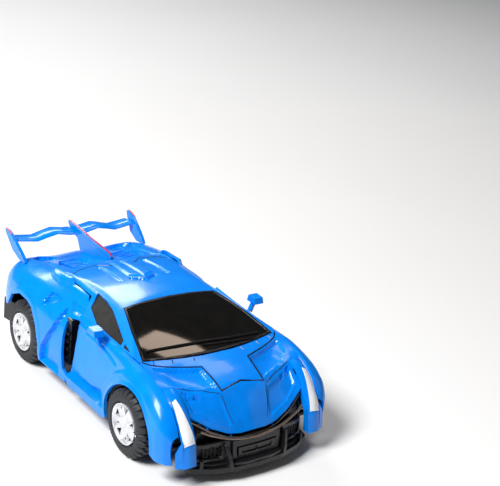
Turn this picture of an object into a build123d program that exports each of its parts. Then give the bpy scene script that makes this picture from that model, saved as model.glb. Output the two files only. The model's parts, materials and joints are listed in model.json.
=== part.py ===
from build123d import *
import os
from math import cos, degrees, radians, sin

# A push-along toy car that springs up into a robot.  Millimetres, +Z up,
# the nose of the car points along -Y, and Z = 0 is the floor under the tyres.

# ---- driving dimensions -------------------------------------------------
WHEELBASE = 72.0
FRONT_AXLE_Y = -WHEELBASE / 2
REAR_AXLE_Y = WHEELBASE / 2
TYRE_RADIUS = 11.6
RIM_RADIUS = 7.1
WHEEL_OUTER_X = 33.9
TYRE_WIDTH = 9.4
WHEEL_INNER_X = WHEEL_OUTER_X - TYRE_WIDTH
WHEEL_WELL_RADIUS = TYRE_RADIUS + 1.1
AXLE_RADIUS = 1.0
RUNNING_CLEARANCE = 0.06
WALL = 1.3
GLASS = 0.9

# Pivots, as (y, z) for the cross axes and (x, y) for the upright shoulder axes.
HIP = (28.0, 34.0)
CHEST_PIVOT = (-47.5, 18.5)
HEAD_PIVOT = (-39.2, 27.2)
HEAD_TURN = 108.0
SHOULDER = (30.0, -56.6)
PIN_RADIUS = 0.9
SMALL_PIN_RADIUS = 0.6
KNUCKLE_RADIUS = 1.4
BRACKET_RADIUS = 1.3

# Heights (low, high) of the shoulder's two bracket leaves and of the knuckle between them.
SHOULDER_LOWER = (10.8, 12.0)
SHOULDER_UPPER = (15.8, 16.9)
KNUCKLE_SPAN = (12.3, 15.5)

# Spans in x of the chest frame's outer rails and inner bosses; the ears turn between them.
RAIL_SPAN = (18.2, 20.1)
BOSS_SPAN = (8.4, 11.8)
EAR_SPAN = (12.4, 17.6)

# Span in x of the cowl's two hinge lugs; the neck bar fills the space between them.
LUG_SPAN = (12.6, 14.8)

# Half widths of the modules that fold past each other.
SPINE_HALF = 21.5
CABIN_HALF = 28.0
CHEST_HALF = 27.2
CHASSIS_INNER = 22.3
LINER_INNER = 22.6
ARM_TOP_INNER = 27.8
FOOT_HALF = 20.0
SCREW_PLACES = ((-16, -2), (16, -2), (-19, 22), (19, 22), (-14, 50), (14, 50))

# Front and rear limits.
DOOR_REAR_Y = 3.8
QUARTER_FRONT_Y = 4.4
REAR_DECK_Y = 33.4
TAIL_Y = 62.0
WING_REAR_Y = 66.0
SPLITTER_FRONT_Y = -66.0
FENDER_FRONT_Y = -59.0
FENDER_FRONT_WALL = 0.8

# Torso plate: its face looks down in the car and forward in the robot.
TORSO_FACE_Z = 19.6
TORSO_BACK_Z = 21.4
TORSO_TOP_Y = -33.0
LEG_END_Y = 41.0
LEG_SPLIT_Y = 21.0
LEG_GAP_HALF = 4.2

# Friction motor.
GEAR_MODULE = 0.5
DRIVE_TEETH = 24
IDLER_TEETH = 16
PINION_TEETH = 8
GEAR_WIDTH = 3.0
GEAR_BACKLASH = 0.12
TRAIN_SLOPE = radians(8)
FLYWHEEL_RADIUS = 4.1
GEAR_SHAFT_RADIUS = 0.7


# ---- small helpers ------------------------------------------------------
def slab(x_low, x_high, y_low, y_high, z_low, z_high):
    """Axis-aligned block between six planes."""
    size = (x_high - x_low, y_high - y_low, z_high - z_low)
    centre = ((x_low + x_high) / 2, (y_low + y_high) / 2, (z_low + z_high) / 2)
    return Pos(*centre) * Box(*size)


def side_prism(points, x_low, x_high):
    """Extrude an outline of (y, z) points from x_low to x_high."""
    face = make_face(Polyline([(x_low, y, z) for y, z in points], close=True))
    return extrude(face, amount=x_high - x_low, dir=(1, 0, 0))


def plan_prism(points, z_low, z_high):
    """Extrude an outline of (x, y) points from z_low to z_high."""
    face = make_face(Polyline([(x, y, z_low) for x, y in points], close=True))
    return extrude(face, amount=z_high - z_low, dir=(0, 0, 1))


def front_prism(points, y_low, y_high):
    """Extrude an outline of (x, z) points from y_low to y_high."""
    face = make_face(Polyline([(x, y_low, z) for x, z in points], close=True))
    return extrude(face, amount=y_high - y_low, dir=(0, 1, 0))


def both_sides(points):
    """Complete a right-hand outline, listed front to back, with its mirror image."""
    return points + [(-x, y) for x, y in reversed(points) if abs(x) > 1e-6]


def rod_x(radius, x_low, x_high, y, z):
    return Pos((x_low + x_high) / 2, y, z) * Rot(0, 90, 0) * Cylinder(radius, x_high - x_low)


def rod_y(radius, y_low, y_high, x, z):
    return Pos(x, (y_low + y_high) / 2, z) * Rot(90, 0, 0) * Cylinder(radius, y_high - y_low)


def rod_z(radius, z_low, z_high, x, y):
    return Pos(x, y, (z_low + z_high) / 2) * Cylinder(radius, z_high - z_low)


def flipped(shape):
    """Mirror image on the other side of the car."""
    return mirror(shape, about=Plane.YZ)


def pair(shape):
    """The shape and its mirror image as separate solids."""
    return Compound(children=[Solid(shape.solids()[0].wrapped), Solid(flipped(shape).solids()[0].wrapped)])


def group(shapes):
    """Several separate solids in one node."""
    return Compound(children=[solid for shape in shapes for solid in shape.solids()])


def write(name, shape):
    export_step(shape, f"parts/{name}.step")


# ---- outlines shared by several panels ----------------------------------
HOOD_LINE = [(-60.8, 13.6), (-52.6, 26.9), (-36.0, 31.3)]
ROOF_LINE = [(-37.2, 31.0), (-30.0, 33.2), (-5.0, 38.0), (8.0, 38.7), (22.0, 38.2), (31.0, 36.6)]
CABIN_SECTION = [(28.0, 31.2), (27.6, 32.4), (19.0, 37.7), (9.0, 38.9), (0.0, 39.2)]
SIDE_SECTION = [(33.8, 6.0), (33.8, 19.0), (32.4, 25.5), (29.4, 32.0), (26.0, 34.6)]
QUARTER_SECTION = [(33.8, 6.0), (33.8, 20.0), (31.6, 28.5), (26.5, 33.0), (20.0, 35.2), (0.0, 35.4)]
SIDE_PLAN = [(29.2, FENDER_FRONT_Y), (32.6, FENDER_FRONT_Y), (33.2, -54.0), (33.8, -44.0), (33.8, -30.0),
             (32.9, -20.0), (32.2, -8.0), (33.0, 4.0)]


def inset_outline(points, inset):
    """Move a right-hand section outline inwards by a wall thickness in x and z."""
    return [(max(x - inset, 0.0), z - inset) for x, z in points]


def closed_section(points, z_low):
    """Close a right-hand (x, z) section along the bottom and mirror it."""
    right = [(points[0][0], z_low)] + [point for point in points if point[1] > z_low]
    left = [(-x, z) for x, z in reversed(right) if abs(x) > 1e-6]
    return right + left


# ---- wheels -------------------------------------------------------------
def tyre():
    """Block-tread tyre centred on the X axis with its outer face at x = 0."""
    crown = TYRE_RADIUS - 0.7
    profile = [(0.5, RIM_RADIUS), (0, RIM_RADIUS + 1), (0.0, crown - 1.2), (1.1, crown), (TYRE_WIDTH - 1.0, crown),
               (TYRE_WIDTH, crown - 1.2), (TYRE_WIDTH, RIM_RADIUS)]
    face = make_face(Polyline([(-x, r, 0) for x, r in profile], close=True))
    body = revolve(face, axis=Axis.X)
    blocks = 24
    block = Pos(-TYRE_WIDTH * 0.27, 0, TYRE_RADIUS - 0.85) * Box(TYRE_WIDTH * 0.36, 1.9, 1.7)
    other = Pos(-TYRE_WIDTH * 0.71, 0, TYRE_RADIUS - 0.85) * Box(TYRE_WIDTH * 0.36, 1.9, 1.7)
    for index in range(blocks):
        turn = 360 / blocks * index
        body += Rot(turn, 0, 0) * block
        body += Rot(turn + 180 / blocks, 0, 0) * other
    limit = Rot(0, 90, 0) * Cylinder(TYRE_RADIUS, TYRE_WIDTH * 4)
    return body & limit


def rim():
    """Five-spoke rim with a hub, outer face recessed 0.2 from the tyre's face."""
    depth = TYRE_WIDTH - 1.2
    barrel = rod_x(RIM_RADIUS, -depth, -0.2, 0, 0) - rod_x(RIM_RADIUS - 1.0, -2.6, 0, 0, 0)
    barrel -= rod_x(RIM_RADIUS - 1.0, -depth - 1, -3.8, 0, 0)
    body = barrel + rod_x(2.0, -depth, -0.5, 0, 0)
    spokes = 5
    for index in range(spokes):
        spoke = Pos(-1.9, 0, RIM_RADIUS / 2) * Box(1.8, 2.1, RIM_RADIUS - 0.6)
        body += Rot(360 / spokes * index, 0, 0) * spoke
        window = side_prism([(-0.9, 5.6), (0.9, 5.6), (0.0, 3.6)], -5, 0)
        body -= Rot(360 / spokes * (index + 0.5), 0, 0) * window
    return body


def placed_wheel(shape, side, axle_y):
    """Put a wheel part, modelled with its outer face at x = 0, on one side (+1 or -1)."""
    shape = shape if side > 0 else flipped(shape)
    return Pos(side * WHEEL_OUTER_X, axle_y, TYRE_RADIUS) * shape


# ---- gears --------------------------------------------------------------
def gear(teeth, width, phase_degrees):
    """Spur gear on the X axis with straight-flanked teeth and backlash."""
    pitch = GEAR_MODULE * teeth / 2
    root = pitch - 1.2 * GEAR_MODULE
    tip = pitch + 0.85 * GEAR_MODULE
    half_root = 0.62 * GEAR_MODULE * 1.25 - GEAR_BACKLASH / 2
    half_tip = 0.24 * GEAR_MODULE * 1.25
    body = rod_x(root, 0, width, 0, 0)
    flanks = [(root - 0.3, -half_root), (tip, -half_tip), (tip, half_tip), (root - 0.3, half_root)]
    tooth = side_prism(flanks, 0, width)
    for index in range(teeth):
        body += Rot(360 / teeth * index + phase_degrees, 0, 0) * tooth
    return body


def train_point(distance):
    """Point on the line of the gear train, measured from the rear axle."""
    return (REAR_AXLE_Y + distance * cos(TRAIN_SLOPE), TYRE_RADIUS + distance * sin(TRAIN_SLOPE))


IDLER_DISTANCE = GEAR_MODULE * (DRIVE_TEETH + IDLER_TEETH) / 2 + 0.05
PINION_DISTANCE = IDLER_DISTANCE + GEAR_MODULE * (IDLER_TEETH + PINION_TEETH) / 2 + 0.05
SLOPE_DEGREES = degrees(TRAIN_SLOPE)


def drive_gear():
    body = Pos(-GEAR_WIDTH / 2, REAR_AXLE_Y, TYRE_RADIUS) * gear(DRIVE_TEETH, GEAR_WIDTH, SLOPE_DEGREES)
    return body - rod_x(AXLE_RADIUS, -9, 9, REAR_AXLE_Y, TYRE_RADIUS)


def idler_gear():
    y, z = train_point(IDLER_DISTANCE)
    phase = SLOPE_DEGREES + 180 / IDLER_TEETH
    body = Pos(-GEAR_WIDTH / 2, y, z) * gear(IDLER_TEETH, GEAR_WIDTH, phase)
    return body + rod_x(GEAR_SHAFT_RADIUS, -5.6, 3.4, y, z)


def flywheel():
    y, z = train_point(PINION_DISTANCE)
    body = Pos(-GEAR_WIDTH / 2, y, z) * gear(PINION_TEETH, GEAR_WIDTH, SLOPE_DEGREES)
    body += rod_x(GEAR_SHAFT_RADIUS, -5.6, 11.6, y, z)
    return body + rod_x(FLYWHEEL_RADIUS, 4.4, 9.6, y, z)


def motor_housing():
    """Open-topped case with bearing walls for the idler and the flywheel."""
    shell = slab(-6, 12, 41.8, 57.6, 6.0, 18.5) - slab(-4.8, 10.8, 40, 56.4, 7.2, 20)
    shell += slab(2.2, 3.6, 42.6, 48.4, 6.0, 18.5)
    shell -= slab(-3, 3, 40, 45, 6.8, 20)
    for distance in (IDLER_DISTANCE, PINION_DISTANCE):
        y, z = train_point(distance)
        shell -= rod_x(GEAR_SHAFT_RADIUS + RUNNING_CLEARANCE, -8, 14, y, z)
    y, z = train_point(PINION_DISTANCE)
    return shell - rod_x(PINION_TEETH * GEAR_MODULE / 2 + 1.0, 2.0, 3.8, y, z)


# ---- chassis module: rear half of the car, and the robot's foot ----------
def quarter_profile(inset):
    """Side outline of the rear body; with an inset, the hollow inside it, open at the bottom."""
    low = 6.5 if inset == 0 else 0.0
    upper = [(14, 33.6), (24, 34.6), (REAR_DECK_Y, 34.6), (46, 32.6)]
    tail = [(56, 30.6), (61.2, 27.0), (TAIL_Y, 22.0)]
    return [(QUARTER_FRONT_Y + inset, low), (QUARTER_FRONT_Y + inset, 31.8 - inset)] \
        + [(y, z - inset) for y, z in upper] + [(y - inset, z - inset) for y, z in tail] \
        + [(60.0 - inset, 16.5), (49.0, 16.5), (49.0, low)]


def rear_plan(inset):
    """Plan outline of the rear body, moved inwards by an inset."""
    sides = [(33.0, QUARTER_FRONT_Y - 0.2), (33.6, 20.0), (33.8, 40.0), (32.6, 50.0)]
    corner = [(29.0, 57.0), (24.0, 60.6)]
    return both_sides([(x - inset, y) for x, y in sides] + [(x - inset, y - inset) for x, y in corner]
                      + [(12.0, TAIL_Y - inset), (0.0, TAIL_Y - inset)])


def rear_arch(x_low, x_high):
    """Angular wheel opening."""
    return side_prism([(23.2, 0), (23.2, 13.5), (28.4, 22.4), (33, 25.2), (41, 25.6), (47.4, 21.8), (49.4, 16.0),
                       (50.5, 0)], x_low, x_high)


def rear_body_shell():
    outer = side_prism(quarter_profile(0.0), -34, 34) & plan_prism(rear_plan(0.0), 0, 40)
    outer &= front_prism(closed_section(QUARTER_SECTION, 0.0), 0, 70)
    inner = side_prism(quarter_profile(WALL), -34, 34) & plan_prism(rear_plan(WALL), 0, 40)
    inner &= front_prism(closed_section(inset_outline(QUARTER_SECTION, WALL), -2.0), 0, 70)
    shell = outer - inner
    shell -= slab(-CHASSIS_INNER, CHASSIS_INNER, 0, REAR_DECK_Y, 0, 50)
    shell -= plan_prism(both_sides([(28.5, 4.0), (28.5, 4.5), (21.9, 9.4)]), 29.5, 40)
    shell -= rear_arch(WHEEL_INNER_X - 0.8, 40) + rear_arch(-40, -WHEEL_INNER_X + 0.8)
    intake = side_prism([(6.6, 11), (11.5, 11), (14.0, 22), (10.0, 29), (6.6, 29)], 29.5, 36)
    hip_clearance = rod_x(1.2, CHASSIS_INNER, 24, *HIP)
    for cut in (intake, side_intake(), hip_wall(0.1), tail_light(), rear_wing()[1], hip_clearance):
        shell -= cut
        shell -= flipped(cut)
    return shell


def side_intake():
    """Dark duct behind the door, set into the quarter panel."""
    duct = side_prism([(6.8, 11.2), (11.3, 11.2), (13.8, 22), (9.8, 28.4), (6.8, 28.4)], 27.6, 30.0)
    vanes = [side_prism([(6.8, z), (11.3, z), (11.3, z + 0.7), (6.8, z + 0.7)], 30.0, 31.0) for z in (14, 17, 20, 23)]
    for vane in vanes:
        duct += vane
    return duct


def rear_bumper():
    """Black valance with a stepped diffuser and two exhaust mouths."""
    plan = both_sides([(30.0, 49.8), (31.0, 56.0), (25.0, 62.0), (12.0, 64.2), (0.0, 64.2)])
    body = plan_prism(plan, 8.0, 16.4) - plan_prism(both_sides([(28.0, 44), (28.0, 57.8), (0.0, 58.6)]), 7, 17)
    body -= slab(-8, 8, 63, 66, 7, 12)
    for x in (-16, 16):
        body -= rod_y(2.2, 60.6, 66, x, 12.2)
    for x in (-6, -2, 2, 6):
        body += slab(x - 0.5, x + 0.5, 60, 64.1, 8.0, 12.2)
    return body


def tail_light():
    return slab(13, 24.0, 59.6, 61.6, 20.6, 23.6) & plan_prism(rear_plan(0.0), 0, 40)


def rear_fin():
    """Central fin from the deck to the wing."""
    return side_prism([(34.2, 34.7), (34.2, 36.9), (62.0, 39.6), (65.6, 39.4), (63.0, 35.6), (56, 34.0), (54, 31.4),
                       (46.4, 32.9)], -0.8, 0.8)


def rear_wing():
    """Kinked blade between two swept end plates."""
    half = [(0.8, 37.4), (9.0, 38.2), (17.0, 36.9), (24.6, 37.7), (24.6, 36.2), (17.0, 35.3), (9.0, 36.4), (0.8, 35.6)]
    blade = front_prism(half, 57.0, 65.4) + front_prism([(-x, z) for x, z in reversed(half)], 57.0, 65.4)
    blade += slab(-0.8, 0.8, 57.0, 65.4, 35.6, 37.4)
    sweep_line = [(46.6, 31.6), (55.4, 31.0), (62.0, 33.6), (WING_REAR_Y, 40.2), (59.5, 39.6), (53.0, 36.6)]
    plate = side_prism(sweep_line, 24.6, 26.0)
    foot = slab(23.2, 26.6, 47.4, 54.6, 30.2, 31.8)
    return blade, plate + foot


def hip_wall(gap):
    """Side wall of the chassis that rises to the hip bearing."""
    profile = [(6.0, 5.0), (6.0, 26.0), (20.0, 30.5), (25.0, 35.0), (27.0, 36.0), (29.4, 35.8), (32.4, 33.0),
               (44.0, 30.5), (50.0, 16.0), (50.0, 5.0)]
    return side_prism(profile, CHASSIS_INNER - gap, CHASSIS_INNER + WALL + gap)


def chassis_base():
    """Black floor, side walls with the hip and axle bearings, and the foot's sole."""
    sole = both_sides([(9.0, -10.5), (17.0, -9.2), (FOOT_HALF, -3.0), (FOOT_HALF, 4.0), (CHASSIS_INNER + WALL, 5.8),
                       (CHASSIS_INNER + WALL, 30.0), (CHASSIS_INNER + WALL, 52.0), (18.0, 58.0)])
    base = plan_prism(sole, 3.8, 6.0)
    toe = both_sides([(9.0, -10.5), (17.0, -9.2), (FOOT_HALF, -3.0), (FOOT_HALF, 4.0)])
    base += plan_prism(toe, 5.5, 7.6) - slab(-17, 17, -7, 5, 5.8, 9)
    wall = hip_wall(0.0)
    wall -= rod_x(PIN_RADIUS, 20, 26, *HIP)
    wall -= rod_x(AXLE_RADIUS + RUNNING_CLEARANCE, 20, 26, REAR_AXLE_Y, TYRE_RADIUS)
    wall -= slab(20, 26, 12, 17, 9, 14)
    base += wall
    base += flipped(wall)
    bearing = slab(12, 14, REAR_AXLE_Y - 3, REAR_AXLE_Y + 3, 5.5, 12.6)
    bearing -= rod_x(AXLE_RADIUS + RUNNING_CLEARANCE, 10, 16, REAR_AXLE_Y, TYRE_RADIUS)
    base += bearing
    base += flipped(bearing)
    base -= slab(-4, 4, REAR_AXLE_Y - 6.2, REAR_AXLE_Y + 6.2, 3, 7)
    for x, y in SCREW_PLACES:
        base -= rod_z(1.6, 3.6, 4.7, x, y)
    return base


def foot_deck():
    """Blue deck with a chamfered edge, the shin wall with two tabs, and the side wedge."""
    deck_plan = both_sides([(8.6, -10.0), (16.4, -8.8), (19.4, -3.2), (19.4, 5.6)])
    deck = plan_prism(deck_plan, 7.7, 9.6)
    deck = chamfer(deck.faces().sort_by(Axis.Z)[-1].edges(), 0.5)
    deck -= slab(2.4, 7.0, -5.2, 4.4, 6, 12)
    shin = side_prism([(4.4, 7.7), (4.4, 9.6), (6.4, 16.2), (9.0, 16.2), (9.0, 7.7)], -18.6, 18.6)
    shin -= slab(-7.4, 7.4, 7.2, 12, 6, 13.5)
    for x in (-15.6, 4.4):
        shin += slab(x, x + 11.2, 6.6, 9.0, 16.0, 17.4)
    wedge = side_prism([(-7.8, 9.4), (4.8, 9.4), (5.4, 14.4), (2.6, 14.4)], 12.4, 15.0)
    return deck + shin + wedge


def latch_slider():
    """Release catch that shows through the slot in the foot deck."""
    body = slab(2.8, 6.6, -4.6, 2.0, 6.3, 8.2)
    return body + slab(3.2, 6.2, -2.6, -1.6, 8.0, 9.2)


def coil_spring(radius, wire, pitch, length):
    """Round-wire coil along Z from z = 0."""
    path = Helix(pitch=pitch, height=length, radius=radius)
    section = Plane(origin=path @ 0, z_dir=path % 0) * Circle(wire / 2)
    return sweep(section, path=path)


def latch_spring():
    return Pos(4.7, 5.2, 6.85) * Rot(90, 0, 0) * coil_spring(0.6, 0.3, 0.75, 2.9)


def hip_springs():
    """Torsion coils that throw the car upright, round the hip pins."""
    coil = Rot(0, 90, 0) * coil_spring(1.3, 0.5, 0.75, 4.4)
    right = Pos(14.6, *HIP) * coil
    return group([right, flipped(right)])


def base_screws():
    """Self-tapping screws, their heads flush with the underside."""
    screws = []
    for x, y in SCREW_PLACES:
        head = rod_z(1.55, 3.8, 4.7, x, y)
        head -= slab(x - 0.25, x + 0.25, y - 1.1, y + 1.1, 3.6, 4.3)
        head -= slab(x - 1.1, x + 1.1, y - 0.25, y + 0.25, 3.6, 4.3)
        screws.append(head)
    return group(screws)


# ---- cabin module: roof and glass, which become the robot's back ---------
def cabin_plan(margin):
    side = CABIN_HALF - margin
    return both_sides([(0.0, -36.8 + margin), (12.0, -35.6 + margin), (26.4 - margin, -31.8 + margin),
                       (side, -20.0), (side, DOOR_REAR_Y - margin), (SPINE_HALF - margin, 8.6 - margin),
                       (SPINE_HALF - margin, 31.0 - margin)])


def cabin_block(margin):
    """Outer form of the greenhouse, or with a margin the hollow inside it."""
    line = [(y, z - margin) for y, z in ROOF_LINE]
    low = 30.0 if margin == 0 else 28.0
    profile = [(ROOF_LINE[0][0], low)] + line + [(ROOF_LINE[-1][0], low)]
    section = [(x - margin if x > 0 else x, z - margin) for x, z in CABIN_SECTION]
    block = side_prism(profile, -29, 29) & plan_prism(cabin_plan(margin), 20, 45)
    return block & front_prism(closed_section(section, low), -40, 35)


def windshield_outline(grow):
    """Plan of the windscreen, made wider by grow."""
    return both_sides([(0.0, -36.2 - grow), (11.6, -35.0 - grow), (24.4 + grow, -31.8 - grow),
                       (23.8 + grow, -29.0), (18.0 + grow, -6.6), (0.0, -5.2 + grow)])


def windshield_region():
    """Space of the windscreen, from the A-pillars to the base of the glass."""
    return plan_prism(windshield_outline(0.0), 29.0, 45)


def side_window_region():
    """Space of one side window with its front quarter light."""
    outline = [(-28.4, 32.9), (-17.0, 36.6), (-2.4, 37.2), (2.2, 35.0), (1.2, 33.0), (-10, 32.7)]
    return side_prism(outline, 17.0, 32.0) - plan_prism(windshield_outline(1.5), 20, 50)


def cabin_glass(region):
    return (cabin_block(0) - cabin_block(GLASS)) & region


def cabin_shell():
    shell = cabin_block(0) - cabin_block(WALL)
    shell -= windshield_region() + side_window_region() + flipped(side_window_region())
    ledge = plan_prism(cabin_plan(0), 30.0, 31.2) - slab(-SPINE_HALF + WALL, SPINE_HALF - WALL, -60, 40, 25, 40)
    spine = side_prism([(TORSO_TOP_Y, TORSO_BACK_Z), (TORSO_TOP_Y, 30.6), (22.0, 30.6), (22.5, 36.0), (31.0, 36.0),
                        (31.0, 30.0), (40.0, TORSO_BACK_Z)], SPINE_HALF - WALL, SPINE_HALF)
    spine -= side_prism([(-26, 24), (-26, 27.6), (16, 27.6), (16, 24)], SPINE_HALF - 0.5, SPINE_HALF + 1)
    shell += ledge + spine + flipped(spine)
    shell -= rod_x(PIN_RADIUS + RUNNING_CLEARANCE, -25, 25, *HIP)
    for x_low, x_high in ((3.2, 8.6), (-8.6, -3.2)):
        shell -= slab(x_low, x_high, 10.6, 24.0, 38.0, 41)
    return shell - cabin_glass(windshield_region())


def hip_pins():
    """Steel pins, pressed in the chassis walls, on which the cabin turns."""
    return pair(rod_x(PIN_RADIUS, 13.6, CHASSIS_INNER + WALL, *HIP))


def wiper():
    """Long arm lying on the windscreen."""
    return side_prism([(-34.2, 32.35), (-34.2, 33.0), (-33.4, 33.2), (-33.4, 32.6)], -20, 11)


def torso_plate():
    """Black back plate of the robot's front, with the two ears that hold the chest."""
    outline = both_sides([(18.9, TORSO_TOP_Y), (18.9, -14.0), (14.4, -8.0), (14.4, 8.0), (16.8, 14.0), (16.8, 30.0),
                          (13.6, LEG_END_Y)])
    plate = plan_prism(outline, TORSO_FACE_Z, TORSO_BACK_Z)
    plate -= slab(-LEG_GAP_HALF, LEG_GAP_HALF, LEG_SPLIT_Y, LEG_END_Y + 1, 10, 30)
    for side in (-1, 1):
        rim_low, rim_high = sorted((side * 19.0, side * (SPINE_HALF - WALL)))
        plate += slab(rim_low, rim_high, TORSO_TOP_Y, 36.0, 20.0, TORSO_BACK_Z)
    flange = slab(14.0, SPINE_HALF - WALL, -8.4, 14.4, 20.4, TORSO_BACK_Z)
    plate += flange + flipped(flange)
    y, z = CHEST_PIVOT
    ear = side_prism([(y, z - 2.2), (-31, 18.4), (-31, TORSO_BACK_Z), (-35, TORSO_BACK_Z), (y, z + 2.2)], *EAR_SPAN)
    ear += rod_x(2.2, *EAR_SPAN, y, z)
    ear -= rod_x(PIN_RADIUS + RUNNING_CLEARANCE, 10, 20, y, z)
    return plate + ear + flipped(ear)


def raised(points, height):
    """Armour plate standing on the torso face, outline in (x, y)."""
    return plan_prism(points, TORSO_FACE_Z - height, TORSO_FACE_Z)


def shoulder_boxes():
    """Louvred boxes at the sides of the robot's chest."""
    outer = [(11.6, -29.5), (18.6, -29.5), (18.6, -18.0), (17.0, -13.4), (11.8, -15.6)]
    box = raised(outer, 1.6)
    box -= plan_prism([(12.6, -28.4), (14.6, -28.4), (14.9, -20.6), (12.9, -20.6)], 15, 18.6)
    box -= plan_prism([(15.4, -28.4), (17.6, -28.4), (17.6, -20.6), (15.7, -20.6)], 15, 18.6)
    box -= plan_prism([(12.9, -19.4), (17.6, -19.4), (16.4, -15.0), (12.9, -16.6)], 15, 18.6)
    return pair(box)


def chest_armour():
    """Pale plates on the robot's chest, with two chevrons below them."""
    upper = raised([(2.6, -29.0), (10.6, -28.0), (10.6, -21.4), (3.2, -20.0), (4.4, -24.0)], 1.7)
    lower = raised([(3.6, -17.6), (8.2, -18.8), (10.8, -16.4), (8.6, -9.6), (4.0, -11.4)], 1.7)
    parts = [upper, flipped(upper), lower, flipped(lower)]
    for y, width, depth in ((-7.6, 6.0, 3.4), (-1.0, 5.2, 2.8)):
        chevron = [(0, y - 3.4), (width, y + 1.2), (width, y + depth + 1.2), (0, y + depth - 2.4),
                   (-width, y + depth + 1.2), (-width, y + 1.2)]
        parts.append(raised(chevron, 1.5))
    return group(parts)


def waist_relief():
    """Moulded coils, pistons and studs at the robot's waist."""
    parts = []
    for index in range(6):
        y = -7.4 + index * 1.5
        parts.append(raised([(7.6, y), (11.0, y + 0.3), (11.0, y + 1.0), (7.6, y + 0.7)], 1.2))
    parts.append(raised([(12.0, -10.4), (13.0, -10.4), (13.0, -3.6), (12.0, -3.6)], 1.2))
    parts.append(rod_z(1.2, TORSO_FACE_Z - 1.2, TORSO_FACE_Z, 12.4, 3.0))
    parts.append(rod_z(1.4, TORSO_FACE_Z - 1.2, TORSO_FACE_Z, 8.6, 4.4))
    return group(parts + [flipped(part) for part in parts])


def pelvis_armour():
    hexagon = raised([(-2.8, 4.4), (2.8, 4.4), (5.0, 9.4), (3.2, 15.6), (-3.2, 15.6), (-5.0, 9.4)], 1.7)
    belt = raised([(5.8, 7.0), (13.8, 6.6), (12.6, 9.2), (6.6, 9.6)], 1.5)
    vee = raised([(7.6, 10.6), (12.6, 10.2), (10.4, 14.6)], 1.5)
    return group([hexagon, belt, flipped(belt), vee, flipped(vee)])


def leg_armour():
    thigh = raised([(7.8, 17.0), (12.6, 17.0), (12.4, 22.4), (8.2, 22.4)], 1.6)
    band = raised([(7.6, 23.2), (12.8, 23.2), (12.8, 25.2), (8.0, 25.2)], 1.6)
    shin = raised([(7.6, 26.2), (12.8, 26.2), (11.6, 38.4), (8.8, 38.4)], 1.7)
    parts = [thigh, band, shin]
    return group(parts + [flipped(part) for part in parts])


def latch_hook():
    """Tongue under the torso that drops into the slot of the foot deck."""
    return slab(3.4, 6.0, 3.15, 4.2, 8.6, TORSO_FACE_Z)


# ---- chest module: hood, lights and bumper -------------------------------
def plate_profile(line, thickness, foot_z):
    """A bent plate under a (y, z) line, running down at its front end to foot_z."""
    lower = [(y + thickness * 0.55, z - thickness * 1.05) for y, z in reversed(line)]
    front = line[0]
    return [(front[0] - 0.2, foot_z)] + line + lower[:-1] + [(front[0] + thickness + 0.5, foot_z)]


def hood_plan():
    return both_sides([(0.0, -61.0), (8.0, -60.6), (15.0, -59.0), (CHEST_HALF, -55.0), (CHEST_HALF, -32.9),
                       (12.0, -36.1), (0.0, -37.3)])


def cowl_plan(gap):
    """Outline of the tongue and its two wings, made larger by the gap."""
    return both_sides([(8.2 + gap, -52.6 - gap), (10.4 + gap, -42.6 - gap), (23.6 + gap, -35.6 - gap),
                       (23.6 + gap, -33.2 + gap), (12.0, -36.2 + gap), (0.0, -37.4 + gap)])


def hood_shell():
    """Blue hood with the two headlight columns, open where the cowl closes it."""
    plate = side_prism(plate_profile(HOOD_LINE, WALL, 13.4), -CHEST_HALF, CHEST_HALF)
    plate &= plan_prism(hood_plan(), 0, 40)
    column_line = [(-61.8, 12.4), (-60.4, 17.2), (-51.0, 27.2), (-40.0, 30.4)]
    column = side_prism(plate_profile(column_line, WALL * 1.3, 11.4), 22.4, CHEST_HALF)
    plate += column
    plate += flipped(column)
    plate -= plan_prism(cowl_plan(0.25), 0, 40)
    skirt = slab(SPINE_HALF - 1.4, SPINE_HALF, -56.0, -45.5, 17.2, 27.5)
    skirt &= side_prism([(-58, 10), (-58, 20.2), (-52.2, 25.6), (-40, 29.0), (-40, 10)], -30, 30)
    plate += skirt
    plate += flipped(skirt)
    lens = headlight()
    return plate - lens - flipped(lens)


def headlight():
    """Slanted lens strip in the front of one column."""
    return side_prism([(-60.7, 16.6), (-51.0, 27.0), (-50.3, 26.4), (-59.9, 16.0)], 24.0, 26.3)


def front_grille():
    """Black grille block with a hexagonal mesh field each side of a raised centre."""
    outline = both_sides([(0.0, -62.6), (10.0, -62.0), (18.0, -60.4), (21.2, -58.6), (21.2, -56.2)])
    block = plan_prism(outline, 6.6, 13.4)
    block -= plan_prism(both_sides([(7.0, -64), (7.0, -61.0), (19.4, -58.9), (19.4, -64)]), 8.0, 12.4) \
        - slab(-7, 7, -70, -50, 0, 20)
    block -= slab(-20.3, 20.3, -57.6, -50, 5, 20)
    block -= slab(-5.4, 5.4, -64, -58.9, 7.6, 10.8)
    block -= slab(-2.2, 2.2, -60, -57, 8.0, 10.4)
    return block


def bumper_button():
    """Raised centre of the bumper: the crash trigger."""
    return slab(-5.2, 5.2, -64.2, -60.6, 7.8, 10.6) + slab(-2, 2, -60.6, -59.2, 8.2, 10.2)


def splitter():
    """Stepped black splitter along the bottom of the nose."""
    outline = both_sides([(0.0, SPLITTER_FRONT_Y), (9.0, -65.6), (17.0, -63.4), (23.4, -59.8), (24.6, -54.0),
                          (22.0, -52.0)])
    blade = plan_prism(outline, 3.8, 5.6)
    blade += plan_prism(both_sides([(0.0, -64.6), (8.0, -64.4), (16.0, -62.6), (21.2, -59.8), (21.2, -54.0)]), 5.4, 6.6)
    for x in (10.4, 19.4):
        strut = slab(x, x + 1.0, -65.4, -62.8 if x < 15 else -61.0, 5.4, 8.4) & plan_prism(outline, 0, 20)
        blade += strut
        blade += flipped(strut)
    return blade


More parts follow.
